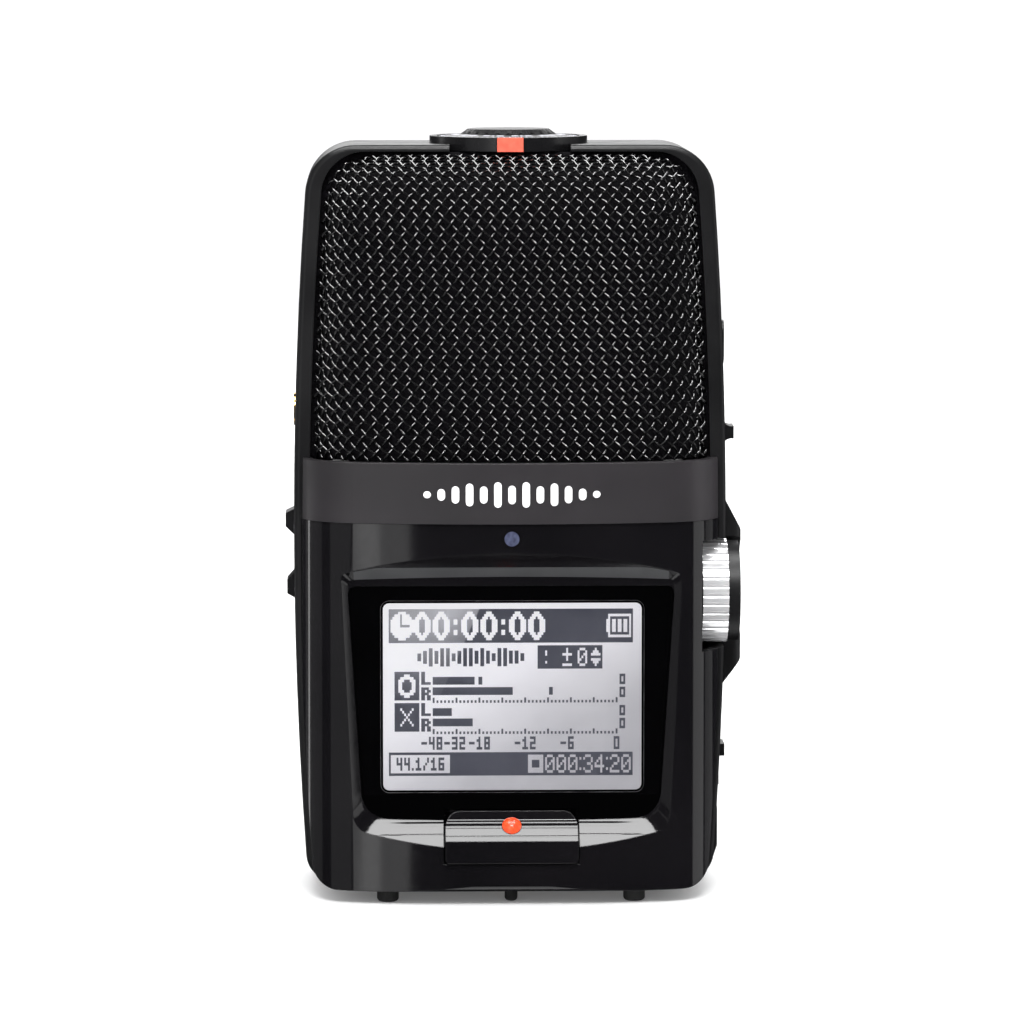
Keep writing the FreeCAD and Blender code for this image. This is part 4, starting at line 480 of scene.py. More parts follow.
WIRE_RADIUS = 0.18
WARP_STEP = np.array([0.812, 0.985])
WEFT_STEP = np.array([1.098, -0.985])
WIRE_SIDES = 6
WIRE_STEPS = 4
DOME_ROUND = 9.6
DOME_CORNER = 3.1
DOME_BOW_RADIUS = 111.4
DOME_LEAN = 0.45
WIRE_SINK = 0.46
WEAVE_LIFT = 0.26
CLOTH_SINK = 1.25
FLANGE_PLANE = 8.9
FLANGE_BITE = 0.5
FRAME_CORNER = 6.4
SIDE_FOOT, SIDE_CREST, SIDE_SWELL = 27.45, 27.0, 2.13
PROFILE_POINTS = 4000
PROFILE_LEVEL = 80.0
NORMAL_STEP = 0.05
SPARE_REACH = 1.2
FOOT_MARGIN, EDGE_LIMIT = 0.05, 0.994
SHORTEST_RUN = 4
CLOTH_COLUMNS, CLOTH_ROWS = 150, 110

grille_low, grille_high = span("front_grille")
chassis_low, chassis_high = span("chassis")
rim = -grille_high.y
crest = -grille_low.y


def side_of(z):
    """Half the grille's width at a height."""
    share = (z - chassis_low.z) / (chassis_high.z - chassis_low.z)
    return SIDE_FOOT + (SIDE_CREST - SIDE_FOOT) * share + 4 * SIDE_SWELL * share * (1 - share)


def dome(x, z, sink):
    """How far the grille stands from the body's middle plane at a place seen from the front."""
    half = side_of(z) - sink
    top = grille_high.z - sink
    across = np.clip(1 - (half - np.abs(x)) / DOME_ROUND, 0, 1)
    upward = np.clip(1 - (top - z) / DOME_ROUND, 0, 1)
    edge = np.clip((across**DOME_CORNER + upward**DOME_CORNER) ** (1 / DOME_CORNER), 0, 1)
    bow = DOME_BOW_RADIUS - np.sqrt(DOME_BOW_RADIUS**2 - x**2)
    lean = DOME_LEAN * (z - grille_low.z) / (grille_high.z - grille_low.z)
    reach = crest - sink - bow - lean
    return rim + (reach - rim) * np.sqrt(1 - edge**2), edge


def run_lengths(places, heights):
    """Distance along a profile from its first point."""
    steps = np.hypot(np.diff(places), np.diff(heights))
    return np.concatenate([[0], np.cumsum(steps)])


middle_z = (grille_low.z + grille_high.z) / 2
profile_x = np.linspace(0, side_of(middle_z) - WIRE_SINK, PROFILE_POINTS)
profile_z = np.linspace(grille_low.z, grille_high.z - WIRE_SINK, PROFILE_POINTS)
level = np.full(PROFILE_POINTS, PROFILE_LEVEL)
length_x = run_lengths(profile_x, dome(profile_x, level, WIRE_SINK)[0])
length_z = run_lengths(profile_z, dome(np.zeros(PROFILE_POINTS), profile_z, WIRE_SINK)[0])


def on_dome(u, v, sink):
    """The point of the dome at arc lengths u from its middle and v from its foot."""
    z = np.interp(v, length_z, profile_z)
    shrink = (side_of(z) - sink) / (side_of(middle_z) - WIRE_SINK)
    x = np.sign(u) * np.interp(np.abs(u), length_x, profile_x) * shrink
    y, edge = dome(x, z, sink)
    return np.stack([x, -y, z], -1), edge


def dome_normal(u, v, sink):
    step = NORMAL_STEP
    along = on_dome(u + step, v, sink)[0] - on_dome(u - step, v, sink)[0]
    up = on_dome(u, v + step, sink)[0] - on_dome(u, v - step, sink)[0]
    normal = np.cross(along, up)
    return normal / np.maximum(np.linalg.norm(normal, axis=-1, keepdims=True), 1e-9)


def tube(points, normals, radius, sides):
    """Rings of points and the faces between them, for one bent wire."""
    tangents = np.gradient(points, axis=0)
    tangents /= np.maximum(np.linalg.norm(tangents, axis=1, keepdims=True), 1e-9)
    across = np.cross(tangents, normals)
    across /= np.maximum(np.linalg.norm(across, axis=1, keepdims=True), 1e-9)
    outward = np.cross(across, tangents)
    angles = np.arange(sides) * 2 * math.pi / sides
    cosine, sine = np.cos(angles)[None, :, None], np.sin(angles)[None, :, None]
    ring = cosine * outward[:, None] + sine * across[:, None]
    rings = points[:, None] + radius * ring
    count = len(points)
    row, corner = np.arange(count - 1)[:, None] * sides, np.arange(sides)[None, :]
    start = (row + corner).ravel()
    turn = (row + (corner + 1) % sides).ravel()
    faces = np.stack([start, turn, turn + sides, start + sides], 1)
    ends = [np.arange(sides)[::-1], np.arange(sides) + (count - 1) * sides]
    return rings.reshape(-1, 3), faces, ends


def woven(name, node, warp, back):
    """One family of the mesh's wires, over and under the other family.

    Places along a wire are counted in crossings of the other family."""
    direction, sideways = (WARP_STEP, WEFT_STEP) if warp else (WEFT_STEP, WARP_STEP)
    centre = np.array([0.0, length_z[-1] / 2])
    reach = math.hypot(length_x[-1], length_z[-1] / 2)
    lines = int(SPARE_REACH * reach / np.linalg.norm(sideways))
    count = int(SPARE_REACH * reach / np.linalg.norm(direction)) * WIRE_STEPS
    along = np.arange(-count, count + 1) / WIRE_STEPS
    points, faces = [], []
    total = 0
    for line in range(-lines, lines + 1):
        places = centre + sideways * line + along[:, None] * direction
        u, v = places[:, 0], places[:, 1]
        middle, edge = on_dome(u, v, WIRE_SINK)
        inside = (np.abs(u) < length_x[-1]) & (v < length_z[-1])
        inside &= (v > FOOT_MARGIN) & (edge < EDGE_LIMIT)
        sign = 1 if warp else -1
        lift = sign * (-1) ** line * WEAVE_LIFT * np.cos(math.pi * along)
        normal = dome_normal(u, v, WIRE_SINK)
        middle = middle + normal * lift[:, None]
        changes = np.where(np.diff(inside.astype(int)) != 0)[0] + 1
        runs = np.split(np.arange(len(along)), changes)
        for run in runs:
            if len(run) < SHORTEST_RUN or not inside[run[0]]:
                continue
            rings, sides, ends = tube(middle[run], normal[run], WIRE_RADIUS, WIRE_SIDES)
            points.append(rings)
            faces.extend((sides + total).tolist())
            faces.extend((end + total).tolist() for end in ends)
            total += len(rings)
    points = np.concatenate(points)
    if back:
        points[:, 1] *= -1
        faces = [face[::-1] for face in faces]
    thing = new_object(name, points, faces, wire.material, smooth=True)
    if warp:
        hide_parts(node)


def cloth_sheet(name, node, back):
    """The acoustic cloth that lines a grille, as a fine grid with a flange out to the frame."""
    u = np.linspace(-length_x[-1], length_x[-1], CLOTH_COLUMNS)
    v = np.linspace(0, length_z[-1], CLOTH_ROWS)
    grid_u, grid_v = np.meshgrid(u, v)
    sheet = on_dome(grid_u, grid_v, CLOTH_SINK)[0]
    top = sheet[-1:].copy()
    top[..., 1] = -FLANGE_PLANE
    into_corner = np.abs(top[..., 0]) - (side_of(grille_high.z) - FRAME_CORNER)
    into_corner = np.clip(into_corner, 0, FRAME_CORNER)
    top[..., 2] = grille_high.z - FRAME_CORNER + np.sqrt(FRAME_CORNER**2 - into_corner**2)
    sheet = np.concatenate([sheet, top])
    for part, side in ((slice(0, 1), -1), (slice(-1, None), 1)):
        edge = sheet[:, part].copy()
        into_corner = np.clip(edge[..., 2] - (grille_high.z - FRAME_CORNER), 0, FRAME_CORNER)
        shortfall = FRAME_CORNER - np.sqrt(FRAME_CORNER**2 - into_corner**2)
        edge[..., 0] = side * (side_of(edge[..., 2]) + FLANGE_BITE - shortfall)
        edge[..., 1] = -FLANGE_PLANE
        sheet = np.concatenate([edge, sheet] if side < 0 else [sheet, edge], axis=1)
    rows, columns = sheet.shape[:2]
    points = sheet.reshape(-1, 3)
    if back:
        points[:, 1] *= -1
    index = np.arange(columns * rows).reshape(rows, columns)
    corners = (index[:-1, :-1], index[:-1, 1:], index[1:, 1:], index[1:, :-1])
    faces = np.stack([corner.ravel() for corner in corners], 1)
    if back:
        faces = faces[:, ::-1]
    thing = new_object(name, points, faces.tolist(), cloth.material, smooth=True)
    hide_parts(node)


for label, back in (("front", False), ("rear", True)):
    woven(f"{label}_mesh_warp", f"{label}_grille", True, back)
    woven(f"{label}_mesh_weft", f"{label}_grille", False, back)
    cloth_sheet(f"{label}_cloth", f"{label}_liner", back)

# ---- Flat shapes: lists of polygons in two coordinates, in millimetres ----


def rectangle(x, z, width, height):
    return [
        (x - width / 2, z - height / 2),
        (x + width / 2, z - height / 2),
        (x + width / 2, z + height / 2),
        (x - width / 2, z + height / 2),
    ]


def arc(x, z, radius, start, stop, steps=16):
    angles = [math.radians(start + (stop - start) * i / steps) for i in range(steps + 1)]
    return [(x + radius * math.cos(a), z + radius * math.sin(a)) for a in angles]


def pill(x, z, width, height, steps=8):
    """A bar with rounded ends, longer along its larger side."""
    radius = min(width, height) / 2
    reach_x, reach_z = width / 2 - radius, height / 2 - radius
    outline = []
    for sx, sz, start in ((1, 1, 0), (-1, 1, 90), (-1, -1, 180), (1, -1, 270)):
        outline += arc(x + sx * reach_x, z + sz * reach_z, radius, start, start + 90, steps // 2)
    return outline


def band_arc(x, z, inner, outer, start, stop, steps=20):
    """Quads along part of a ring."""
    far = arc(x, z, outer, start, stop, steps)
    near = arc(x, z, inner, start, stop, steps)
    return [[near[i], far[i], far[i + 1], near[i + 1]] for i in range(steps)]


RAY_START = 0.06


def raised(name, shapes, node, axis, side, lift, depth, material):
    """Shapes laid on a node's surface along an axis and given a thickness."""
    tree = surface_tree(node)
    direction = Vector((0, 0, 0))
    direction[axis] = -side
    others = [i for i in range(3) if i != axis]
    points, faces = [], []
    for shape in shapes:
        front, rear = [], []
        for a, b in shape:
            start = Vector((0, 0, 0))
            start[others[0]], start[others[1]] = a * MM, b * MM
            start[axis] = side * RAY_START
            hit = tree.ray_cast(start, direction)[0]
            if hit is None:
                front = []
                break
            top = hit / MM
            top[axis] += side * lift
            low = hit / MM
            low[axis] -= side * depth
            front.append(tuple(top))
            rear.append(tuple(low))
        if not front:
            continue
        first = len(points)
        count = len(front)
        points += front + rear
        faces.append([first + i for i in range(count)])
        faces.append([first + count + i for i in reversed(range(count))])
        for i in range(count):
            after = (i + 1) % count
            faces.append([first + i, first + count + i, first + count + after, first + after])
    thing = new_object(name, points, faces, material)
    shell = bmesh.new()
    shell.from_mesh(thing.data)
    bmesh.ops.recalc_face_normals(shell, faces=shell.faces)
    shell.to_mesh(thing.data)
    shell.free()
    return thing


# ---- The plain motif on the front band: a row of level bars ----

band_low_corner, band_high_corner = span("front_band")
band_z = (band_low_corner.z + band_high_corner.z) / 2
BAR_HEIGHTS = (1.0, 1.7, 2.5, 3.3, 2.5, 3.7, 2.7, 3.7, 2.5, 3.3, 2.5, 1.7, 1.0)
BAR_PITCH, BAR_WIDTH, BAR_DROP = 2.05, 1.1, 0.1
BAR_LIFT, BAR_DEPTH = 0.16, 0.2
bars = [
    pill((index - len(BAR_HEIGHTS) // 2) * BAR_PITCH, band_z - BAR_DROP, BAR_WIDTH, height)
    for index, height in enumerate(BAR_HEIGHTS)
]
motif = raised("band_motif", bars, "front_band", 1, -1, BAR_LIFT, BAR_DEPTH, badge.material)

# ---- A grey strip along the top of the display's recess: a painted reflection of the floor in its downward slope ----

LIP_HALF, LIP_LIFT, LIP_DEPTH = 23, 0.04, 0.05
LIP_FOOT, LIP_ARCH, LIP_SPAN = 47.65, 0.4, 23.9
LIP_TOP, LIP_CREST = 49.6, 51.35


def lip_low(x):
    """The strip's lower edge, a shallow arch."""
    return LIP_FOOT + LIP_ARCH * (1 - (x / LIP_SPAN) ** 2)


def lip_high(x):
    """The strip's upper edge: level in the middle, falling with the shell's bow at its ends."""
    return min(LIP_TOP, LIP_CREST - x**2 / (2 * DOME_BOW_RADIUS))


lip_quads = [
    [(x, lip_low(x)), (x + 1, lip_low(x + 1)), (x + 1, lip_high(x + 1)), (x, lip_high(x))]
    for x in range(-LIP_HALF, LIP_HALF)
]
recess_slope_reflection = raised(
    "recess_slope_reflection", lip_quads, "front_shell", 1, -1, LIP_LIFT, LIP_DEPTH, slope_reflection.material
)

# ---- Display: printed border, dots and their picture ----

glass_high = span("display_window")[1]
VIEW_LEFT, VIEW_RIGHT, VIEW_LOW, VIEW_HIGH, VIEW_ROUND = -18.75, 19.1, 16.5, 44.1, 0.9
MASK_INSET, MASK_DEPTH = 0.04, 0.03
mask_y = glass_high.y - MASK_INSET


def rounded_outline(low_x, high_x, low_z, high_z, radius):
    """A rectangle with rounded corners."""
    outline = []
    for x, z, start in (
        (high_x - radius, high_z - radius, 0),
        (low_x + radius, high_z - radius, 90),
        (low_x + radius, low_z + radius, 180),
        (high_x - radius, low_z + radius, 270),
    ):
        outline += arc(x, z, radius, start, start + 90, 6)
    return outline


def frame_piece(name, inner, outer, y, depth, material):
    """A flat frame between two outlines with the same number of points."""
    count = len(inner)
    both = inner + outer
    points = [(x, y, z) for x, z in both] + [(x, y + depth, z) for x, z in both]
    faces = []
    for i in range(count):
        after = (i + 1) % count
        faces.append([i, after, count + after, count + i])
        faces.append([2 * count + i, 3 * count + i, 3 * count + after, 2 * count + after])
        faces.append([i, 2 * count + i, 2 * count + after, after])
        faces.append([count + i, count + after, 3 * count + after, 3 * count + i])
    piece = new_object(name, points, faces, material)


def stretched_outline(points, low_x, high_x, low_z, high_z, inset):
    """The glass's edge, met by lines from the opening's corners: a trapezoid of the same count."""
    middle_x = sum(x for x, z in points) / len(points)
    middle_z = sum(z for x, z in points) / len(points)
    outline = []
    for x, z in points:
        across = (x - middle_x) / (VIEW_RIGHT - middle_x)
        upward = (z - middle_z) / (VIEW_HIGH - middle_z)
        largest = max(abs(across), abs(upward))
        share_x, share_z = across / largest, upward / largest
        level = low_z + inset + (high_z - low_z - 2 * inset) * (share_z + 1) / 2
        lower, upper = low_x - inset, high_x - inset
        half = lower + (upper - lower) * (level - low_z) / (high_z - low_z)
        outline.append((share_x * half, level))
    return outline


inner = rounded_outline(VIEW_LEFT, VIEW_RIGHT, VIEW_LOW, VIEW_HIGH, VIEW_ROUND)
GLASS_FOOT, EDGE_INSET, BORDER_LOW = 21.7, 0.12, 15.7
outer = stretched_outline(inner, GLASS_FOOT, glass_high.x, BORDER_LOW, glass_high.z, EDGE_INSET)
frame_piece("window_border", inner, outer, mask_y, MASK_DEPTH, mask.material)
RIM_OUT, RIM_WIDE, RIM_DEPTH = 0.30, 0.10, 0.02


def view_outline(out):
    """The opening's outline, moved outwards."""
    return rounded_outline(
        VIEW_LEFT - out, VIEW_RIGHT + out, VIEW_LOW - out, VIEW_HIGH + out, VIEW_ROUND + out
    )


frame_piece(
    "window_rim",
    view_outline(RIM_OUT),
    view_outline(RIM_OUT + RIM_WIDE),
    mask_y - MASK_DEPTH,
    RIM_DEPTH,
    rim_grey.material,
)

DOT_COLUMNS, DOT_ROWS = 128, 64
PICTURE_HALF, PICTURE_LOW, PICTURE_HIGH = 17.9, 18.4, 43.05
picture = np.zeros((DOT_ROWS, DOT_COLUMNS), bool)

SMALL_DIGITS = {
    "0": "### #.# #.# #.# ###",
    "1": ".#. ##. .#. .#. ###",
    "2": "### ..# ### #.. ###",
    "3": "### ..# ### ..# ###",
    "4": "#.# #.# ### ..# ..#",
    "6": "### #.. ### #.# ###",
    "8": "### #.# ### #.# ###",
    "-": "... ... ### ... ...",
    "/": "..# ..# .#. #.. #..",
    ".": ". . . . #",
}
MEDIUM_DIGITS = {
    "0": ".###. #...# #..## #.#.# ##..# #...# .###.",
    "2": ".###. #...# ....# ..##. .#... #.... #####",
    "3": ".###. #...# ....# ..##. ....# #...# .###.",
    "4": "...#. ..##. .#.#. #..#. ##### ...#. ...#.",
    ":": ". # . . . # .",
}
LARGE_DIGITS = {
    "0": "...###... ..#####.. .###.###. ###...### ###...### ###...### "
    "###...### ###...### .###.###. ..#####.. ...###...",
}
CHANNELS = {
    "L": "##... ##... ##... ##... #####",
    "R": "####. ##.## ####. ##.## ##.##",
}


def stamp(text, column, row, glyphs, gap, value):
    """Write digits or letters into the picture and return the next free column."""
    for letter in text:
        lines = glyphs[letter].split()
        for down, line in enumerate(lines):
            for across, mark in enumerate(line):
                if mark == "#":
                    picture[row + down, column + across] = value
        column += len(lines[0]) + gap
    return column


def fill(columns, rows, value=True):
    """Set a block of dots, from the first to the last column and row."""
    picture[rows[0] : rows[1] + 1, columns[0] : columns[1] + 1] = value


DOT_ASPECT = 1.1


def disc(column, row, radius, value):
    """A filled circle. The dots are a little taller than they are wide."""
    for y in range(DOT_ROWS):
        for x in range(DOT_COLUMNS):
            if (x - column) ** 2 + (DOT_ASPECT * (y - row)) ** 2 <= radius**2:
                picture[y, x] = value


# Counter bar along the top: a clock, six large noughts and a battery.
fill((0, 127), (0, 12))
disc(6.5, 6, 6.0, False)
fill((6, 6), (2, 6))
fill((6, 10), (6, 6))
large = 13
for place in range(6):
    large = stamp("0", large, 1, LARGE_DIGITS, 1, False)
    if place in (1, 3):
        fill((large + 1, large + 2), (4, 5), False)
        fill((large + 1, large + 2), (8, 9), False)
        large += 5
fill((115, 126), (2, 10), False)
fill((116, 125), (3, 9))
fill((114, 114), (4, 8), False)
for column in (117, 120, 123):
    fill((column, column + 1), (4, 8), False)

# A short sound wave, and a value with its arrows.
WAVE = (1, 2, 3, 2, 3, 3, 1, 2, 3, 3, 2, 3, 2, 1, 3, 3, 2, 2, 1)
for step, height in enumerate(WAVE):
    fill((15 + 3 * step, 16 + 3 * step), (18 - height, 18 + height))
fill((78, 111), (14, 22))
fill((82, 82), (16, 17), False)
fill((82, 82), (20, 20), False)
fill((91, 95), (17, 17), False)
fill((93, 93), (15, 19), False)
fill((91, 95), (21, 21), False)
stamp("0", 99, 15, MEDIUM_DIGITS, 1, False)
for step in range(3):
    fill((108 - step, 108 + step), (15 + step, 15 + step), False)
    fill((108 - step, 108 + step), (21 - step, 21 - step), False)

# Two sources with left and right level bars, ticks and over marks.
for top, bars_of, peaks in ((24, (44, 64), (47, 84)), (36, (32, 43), (None, None))):
    fill((3, 15), (top, top + 10))
    stamp("L", 17, top, CHANNELS, 1, True)
    stamp("R", 17, top + 6, CHANNELS, 1, True)
    for channel in (0, 1):
        row = top + 2 + 4 * channel
        fill((23, bars_of[channel]), (row, row + 2))
        if peaks[channel]:
            fill((peaks[channel], peaks[channel] + 1), (row, row + 2))
        over = top + 1 + 5 * channel
        fill((121, 123), (over, over + 3))
        fill((122, 122), (over + 1, over + 2), False)
    for column in range(23, 121, 2):
        long_tick = (column - 23) % 12 == 0
        fill((column, column), (top + (10 if long_tick else 11), top + 11))
disc(9, 29, 4.6, False)
disc(9, 29, 2.6, True)
for step in range(-3, 4):
    picture[41 + step, 9 + step] = False
    picture[41 + step, 9 - step] = False
for text, column in (("-48", 17), ("-32", 29), ("-18", 42), ("-12", 66), ("-6", 90), ("0", 118)):
    stamp(text, column, 49, SMALL_DIGITS, 1, True)

# Format and time left along the bottom.
fill((0, 127), (55, 63))
fill((1, 31), (56, 62), False)
stamp("44.1/16", 4, 57, SMALL_DIGITS, 1, True)
fill((73, 80), (56, 62), False)
fill((75, 78), (58, 60))
stamp("000:34:20", 82, 56, MEDIUM_DIGITS, 1, False)

pitch_x = 2 * PICTURE_HALF / DOT_COLUMNS
pitch_z = (PICTURE_HIGH - PICTURE_LOW) / DOT_ROWS
DOT_FILL, DOT_LIFT = 0.5, 0.05
dot_points, dot_faces = [], []
front_y = span("display_panel")[0].y - DOT_LIFT
for row, column in zip(*np.nonzero(picture)):
    x = (column + 0.5) * pitch_x - PICTURE_HALF
    z = PICTURE_HIGH - (row + 0.5) * pitch_z
    first = len(dot_points)
    for sx, sz in ((-1, -1), (1, -1), (1, 1), (-1, 1)):
        dot_points.append((x + sx * DOT_FILL * pitch_x, front_y, z + sz * DOT_FILL * pitch_z))
    dot_faces.append([first, first + 1, first + 2, first + 3])
dots = new_object("display_dots", dot_points, dot_faces, ink.material)

# ---- Printed marks on the sides ----


def line_mark(x, z):
    """An arrow into a ring."""
    return [
        *band_arc(x, z, 0.75, 1.0, 0, 360, 24),
        rectangle(x, z + 0.9, 0.25, 1.3),
        [(x - 0.45, z + 0.45), (x, z - 0.15), (x + 0.45, z + 0.45)],
    ]


def phones_mark(x, z):
    """A headband with two ear cups."""
    return [
        *band_arc(x, z, 0.85, 1.1, 0, 180, 16),
        rectangle(x - 0.9, z - 0.4, 0.5, 0.9),
        rectangle(x + 0.9, z - 0.4, 0.5, 0.9),
    ]


def plus_mark(x, z):
    return [rectangle(x, z, 1.5, 0.35), rectangle(x, z, 0.35, 1.5)]


def minus_mark(x, z):
    return [rectangle(x, z, 1.5, 0.35)]


def port_mark(x, z):
    """A plug's outline."""
    return [
        rectangle(x, z + 0.9, 1.7, 0.25),
        rectangle(x, z - 0.9, 1.7, 0.25),
        rectangle(x - 0.75, z, 0.25, 1.6),
        rectangle(x + 0.75, z, 0.25, 1.6),
        rectangle(x, z, 0.9, 0.3),
    ]


def lines_mark(x, z):
    """Three lines, for a menu."""
    return [rectangle(x, z + shift, 1.9, 0.3) for shift in (-0.7, 0, 0.7)]


def play_mark(x, z):
    return [
        [(x - 0.9, z - 0.7), (x + 0.1, z), (x - 0.9, z + 0.7)],
        rectangle(x + 0.5, z, 0.25, 1.4),
        rectangle(x + 0.95, z, 0.25, 1.4),
    ]


def power_mark(x, z):
    return [*band_arc(x, z, 0.7, 0.95, 125, 415, 20), rectangle(x, z + 0.6, 0.25, 1.2)]


def card_mark(x, z):
    """A memory card with a cut corner."""
    low, high = z - 0.9, z + 0.9
    return [[(x - 0.7, low), (x + 0.7, low), (x + 0.7, high), (x - 0.2, high), (x - 0.7, z + 0.4)]]


def middle_of(node):
    low, high = span(node)
    return (low + high) / 2


# Each mark, the control it belongs to, how far back it is printed and how far above the control.
LABEL_Y, MENU_Y, KEY_Y, CARD_Y = -8.2, -7.0, 7.0, 8.3
LEFT_MARKS = (
    (line_mark, "line_jack_ring", LABEL_Y, 4.8),
    (plus_mark, "volume_rocker", LABEL_Y, 4.6),
    (minus_mark, "volume_rocker", LABEL_Y, -4.6),
    (phones_mark, "phones_jack", LABEL_Y, 4.6),
    (port_mark, "usb_port", LABEL_Y, 6.4),
)
RIGHT_MARKS = (
    (lines_mark, "menu_button", MENU_Y, 6.3),
    (play_mark, "play_lever", KEY_Y, 0.0),
    (power_mark, "power_slider", KEY_Y, 0.0),
    (card_mark, "card_door", CARD_Y, 0.0),
)
PRINT_LIFT = 0.03
for label, rows, side in (("left", LEFT_MARKS, -1), ("right", RIGHT_MARKS, 1)):
    shapes = []
    for mark, control, y, above in rows:
        shapes += mark(y, middle_of(control).z + above)
    marks_piece = raised(
        f"{label}_marks", shapes, "chassis", 0, side, PRINT_LIFT, PRINT_LIFT, print_white.material
    )

# ---- Printed marks around the mode dial ----

dial_high = span("mode_dial")[1]
DISC_EDGE, DISC_FOOT = 10.3, 6.95
EDGE_DROP, FOOT_DROP = 1.1, 0.75
edge_z, foot_z = dial_high.z - EDGE_DROP, dial_high.z - FOOT_DROP


def ring_height(radius):
    """The height of the dial's sloping ring at a radius."""
    return edge_z + (foot_z - edge_z) * (DISC_EDGE - radius) / (DISC_EDGE - DISC_FOOT)


def ring_piece(name, quads, thickness, material):
    """Quads of (radius, angle, rise) corners on the dial, given a thickness."""
    points, faces = [], []
    for quad in quads:
        first = len(points)
        for sink in (0, thickness):
            for radius, angle, level in quad:
                points.append((radius * math.cos(angle), radius * math.sin(angle), level - sink))
        faces.append([first, first + 1, first + 2, first + 3])
        faces.append([first + 7, first + 6, first + 5, first + 4])
        for i in range(4):
            after = (i + 1) % 4
            faces.append([first + i, first + 4 + i, first + 4 + after, first + after])
    piece = new_object(name, points, faces, material, "mode_dial")


def ring_quad(inner_radius, outer_radius, start, stop, lift):
    """One printed patch between two radii and two angles in degrees."""
    corners = (
        (inner_radius, start),
        (outer_radius, start),
        (outer_radius, stop),
        (inner_radius, stop),
    )
    return [(r, math.radians(a), ring_height(r) + lift) for r, a in corners]


TICKS, TICK_HALF, TICK_FAR, TICK_SHORT, TICK_LONG = 72, 0.45, 10.1, 9.5, 9.1
NAMES, NAME_NEAR, NAME_FAR, MARK_THICK = 12, 7.7, 8.5, 0.06
STROKES = ((2, 9), (11, 14), (16, 24))
marks = []
for index in range(TICKS):
    angle = 360 // TICKS * index
    near = TICK_SHORT if index % 3 else TICK_LONG
    marks.append(ring_quad(near, TICK_FAR, angle - TICK_HALF, angle + TICK_HALF, PRINT_LIFT))
for index in range(NAMES):
    for start, stop in STROKES:
        for step in range(start, stop):
            angle = 360 // NAMES * index + step
            marks.append(ring_quad(NAME_NEAR, NAME_FAR, angle, angle + 1, PRINT_LIFT))
ring_piece("dial_marks", marks, MARK_THICK, print_white.material)

KNOB_FOOT, KNOB_CROWN, RIB_PROUD = 6.95, 5.9, 0.10
RIB_GROUPS, RIB_OFFSETS, RIB_HALF, RIB_THICK, RIB_DROP = 24, (4.2, 7.5, 10.8), 0.8, 0.25, 0.02
rib_low = (KNOB_FOOT + RIB_PROUD, foot_z)
rib_high = (KNOB_CROWN + RIB_PROUD, dial_high.z - RIB_DROP)
ribs = []
for index in range(RIB_GROUPS):
    for offset in RIB_OFFSETS:
        angle = 360 // RIB_GROUPS * index + offset
        left, right = angle - RIB_HALF, angle + RIB_HALF
        corners = ((rib_low, left), (rib_low, right), (rib_high, right), (rib_high, left))
        ribs.append([(r, math.radians(a), level) for (r, level), a in corners])
ring_piece("knob_ribs", ribs, RIB_THICK, satin.material)

# ---- Floor, backdrop, lights and camera ----

FLOOR_SIZE, BACKDROP_RADIUS, BACKDROP_GLOW = 4.0, 3.8, 1.15

paper = Look("paper_floor", 0.7)
paper.tint(paper.noise(40), (0.90, 0.90, 0.905), (0.93, 0.93, 0.935))
paper.bump(paper.noise(3), 0.02, 0.3)
paper.put("Emission Color", (1.0, 1.0, 1.0, 1.0)).put("Emission Strength", 0.10)

white = bpy.data.materials.new("backdrop_white")
white.use_nodes = True
white.node_tree.nodes.clear()
white_light = white.node_tree.nodes.new("ShaderNodeEmission")
white_light.inputs["Color"].default_value = (1.0, 1.0, 1.0, 1.0)
white_light.inputs["Strength"].default_value = BACKDROP_GLOW
white_output = white.node_tree.nodes.new("ShaderNodeOutputMaterial")
white.node_tree.links.new(white_light.outputs["Emission"], white_output.inputs["Surface"])


def scenery(name, shape, material):
    """A part of the set. It shows neither in the gloss nor through the window."""
    mesh = bpy.data.meshes.new(name)
    shape.to_mesh(mesh)
    shape.free()
    mesh.materials.append(material)
    piece = placed(name, mesh)
    piece.visible_glossy = False
    piece.visible_transmission = False
    return piece


sheet = bmesh.new()
bmesh.ops.create_grid(sheet, x_segments=4, y_segments=4, size=FLOOR_SIZE)
floor = scenery("floor", sheet, paper.material)
ball = bmesh.new()
bmesh.ops.create_uvsphere(ball, u_segments=48, v_segments=24, radius=BACKDROP_RADIUS)
backdrop = scenery("backdrop", ball, white)

AMBIENT = (0.03, 0.03, 0.034, 1.0)
world = bpy.data.worlds.new("studio")
bpy.context.scene.world = world
world.use_nodes = True
surround = world.node_tree.nodes["Background"]
surround.inputs["Color"].default_value = AMBIENT
surround.inputs["Strength"].default_value = 1.0

middle = Vector((0.0, 0.0, (cad_box[0].z + cad_box[1].z) / 2))


def direction_at(azimuth, elevation):
    """The way out from the middle, in degrees. Azimuth 0 is the front, and 90 the right."""
    a, e = math.radians(azimuth), math.radians(elevation)
    return Vector((math.sin(a) * math.cos(e), -math.cos(a) * math.cos(e), math.sin(e)))


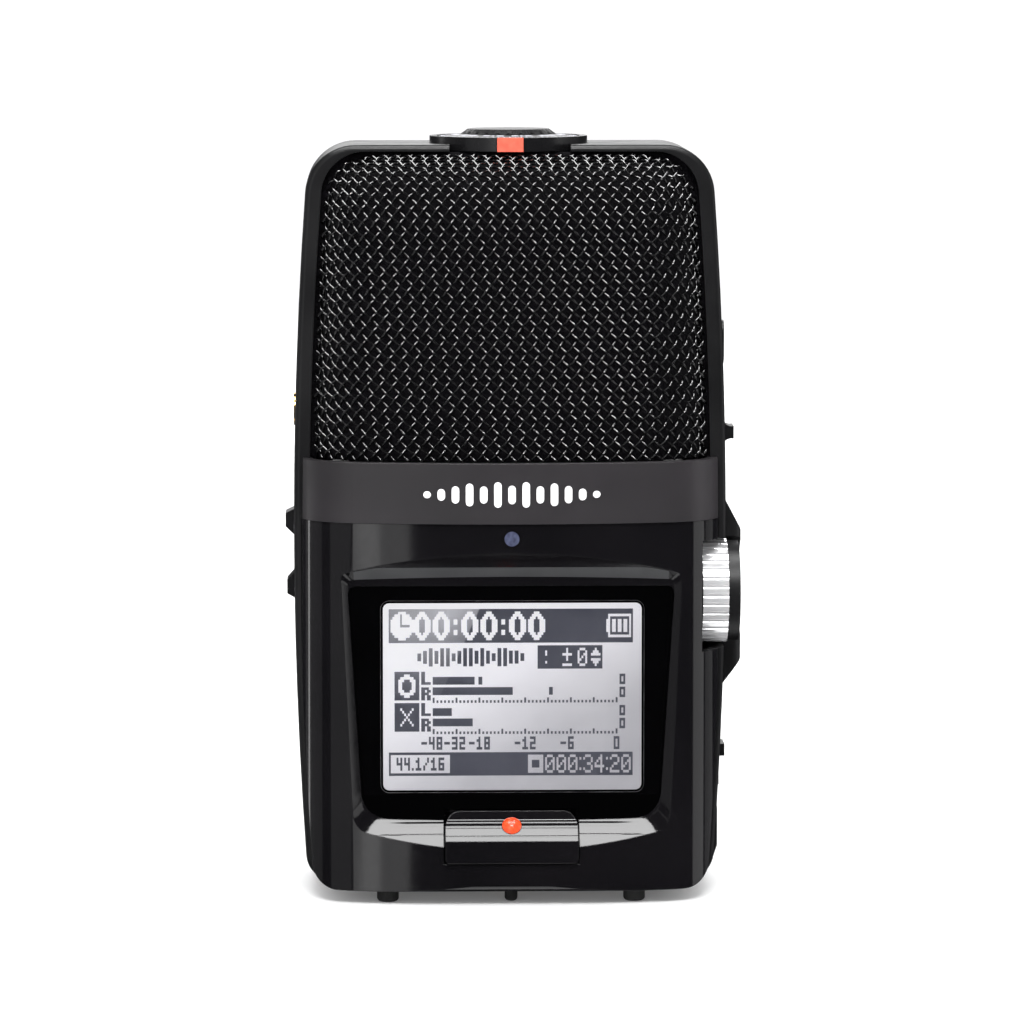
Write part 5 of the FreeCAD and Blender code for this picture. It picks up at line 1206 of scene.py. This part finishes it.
def softbox(name, azimuth, elevation, distance, width, height, power):
    """A rectangular light that faces the object."""
    data = bpy.data.lights.new(name, "AREA")
    data.shape = "RECTANGLE"
    data.size = width
    data.size_y = height
    data.energy = power
    light = placed(name, data)
    outward = direction_at(azimuth, elevation)
    light.location = middle + outward * distance
    light.rotation_euler = outward.to_track_quat("Z", "Y").to_euler()
    light.visible_camera = False
    return light


# Name, azimuth, elevation, distance, width, height and power.
SOFTBOXES = (
    ("left_front_core", -22, 2.0, 1.1, 0.06, 0.9, 0.35),
    ("left_front_mid", -22, 2.0, 1.1, 0.14, 0.9, 0.40),
    ("left_front_haze", -22, 2.0, 1.1, 0.26, 0.9, 0.80),
    ("left_wide", -48, 4.0, 1.1, 0.70, 0.8, 0.5),
    ("left_side", -105, 4, 1.1, 0.90, 0.9, 0.5),
    ("left_edge", -116, 4, 1.2, 0.10, 0.9, 0.7),
    ("right_front", 83, 4, 1.1, 0.46, 0.9, 1.3),
    ("right_side", 110, 4, 1.1, 0.44, 0.9, 0.4),
    ("back_soft", 180, 25, 1.2, 0.8, 0.6, 4),
    ("overhead", 0, 84, 1.0, 1.0, 0.42, 16),
    ("front_top", 0, 45, 1.1, 0.45, 0.30, 9),
    ("below", 0, -88, 0.8, 0.8, 0.5, 1.6),
)
REFLECTED_ONLY = ("overhead", "below")
for name, *values in SOFTBOXES:
    softbox(name, *values).visible_diffuse = name not in REFLECTED_ONLY

VIEW_AZIMUTH, VIEW_ELEVATION, VIEW_DISTANCE = -1.5, 5.85, 0.8
AIM = (0.55, 0.0, 55.8)
SENSOR_WIDTH, FOCAL_LENGTH, NEAREST = 36.0, 188.9, 0.05
camera_data = bpy.data.cameras.new("camera")
camera_data.sensor_width = SENSOR_WIDTH
camera_data.lens = FOCAL_LENGTH
camera_data.clip_start = NEAREST
camera = placed("camera", camera_data)
backward = direction_at(VIEW_AZIMUTH, VIEW_ELEVATION)
camera.location = Vector(AIM) * MM + backward * VIEW_DISTANCE
camera.rotation_euler = backward.to_track_quat("Z", "Y").to_euler()
bpy.context.scene.camera = camera
bpy.context.scene.view_settings.view_transform = "Standard"
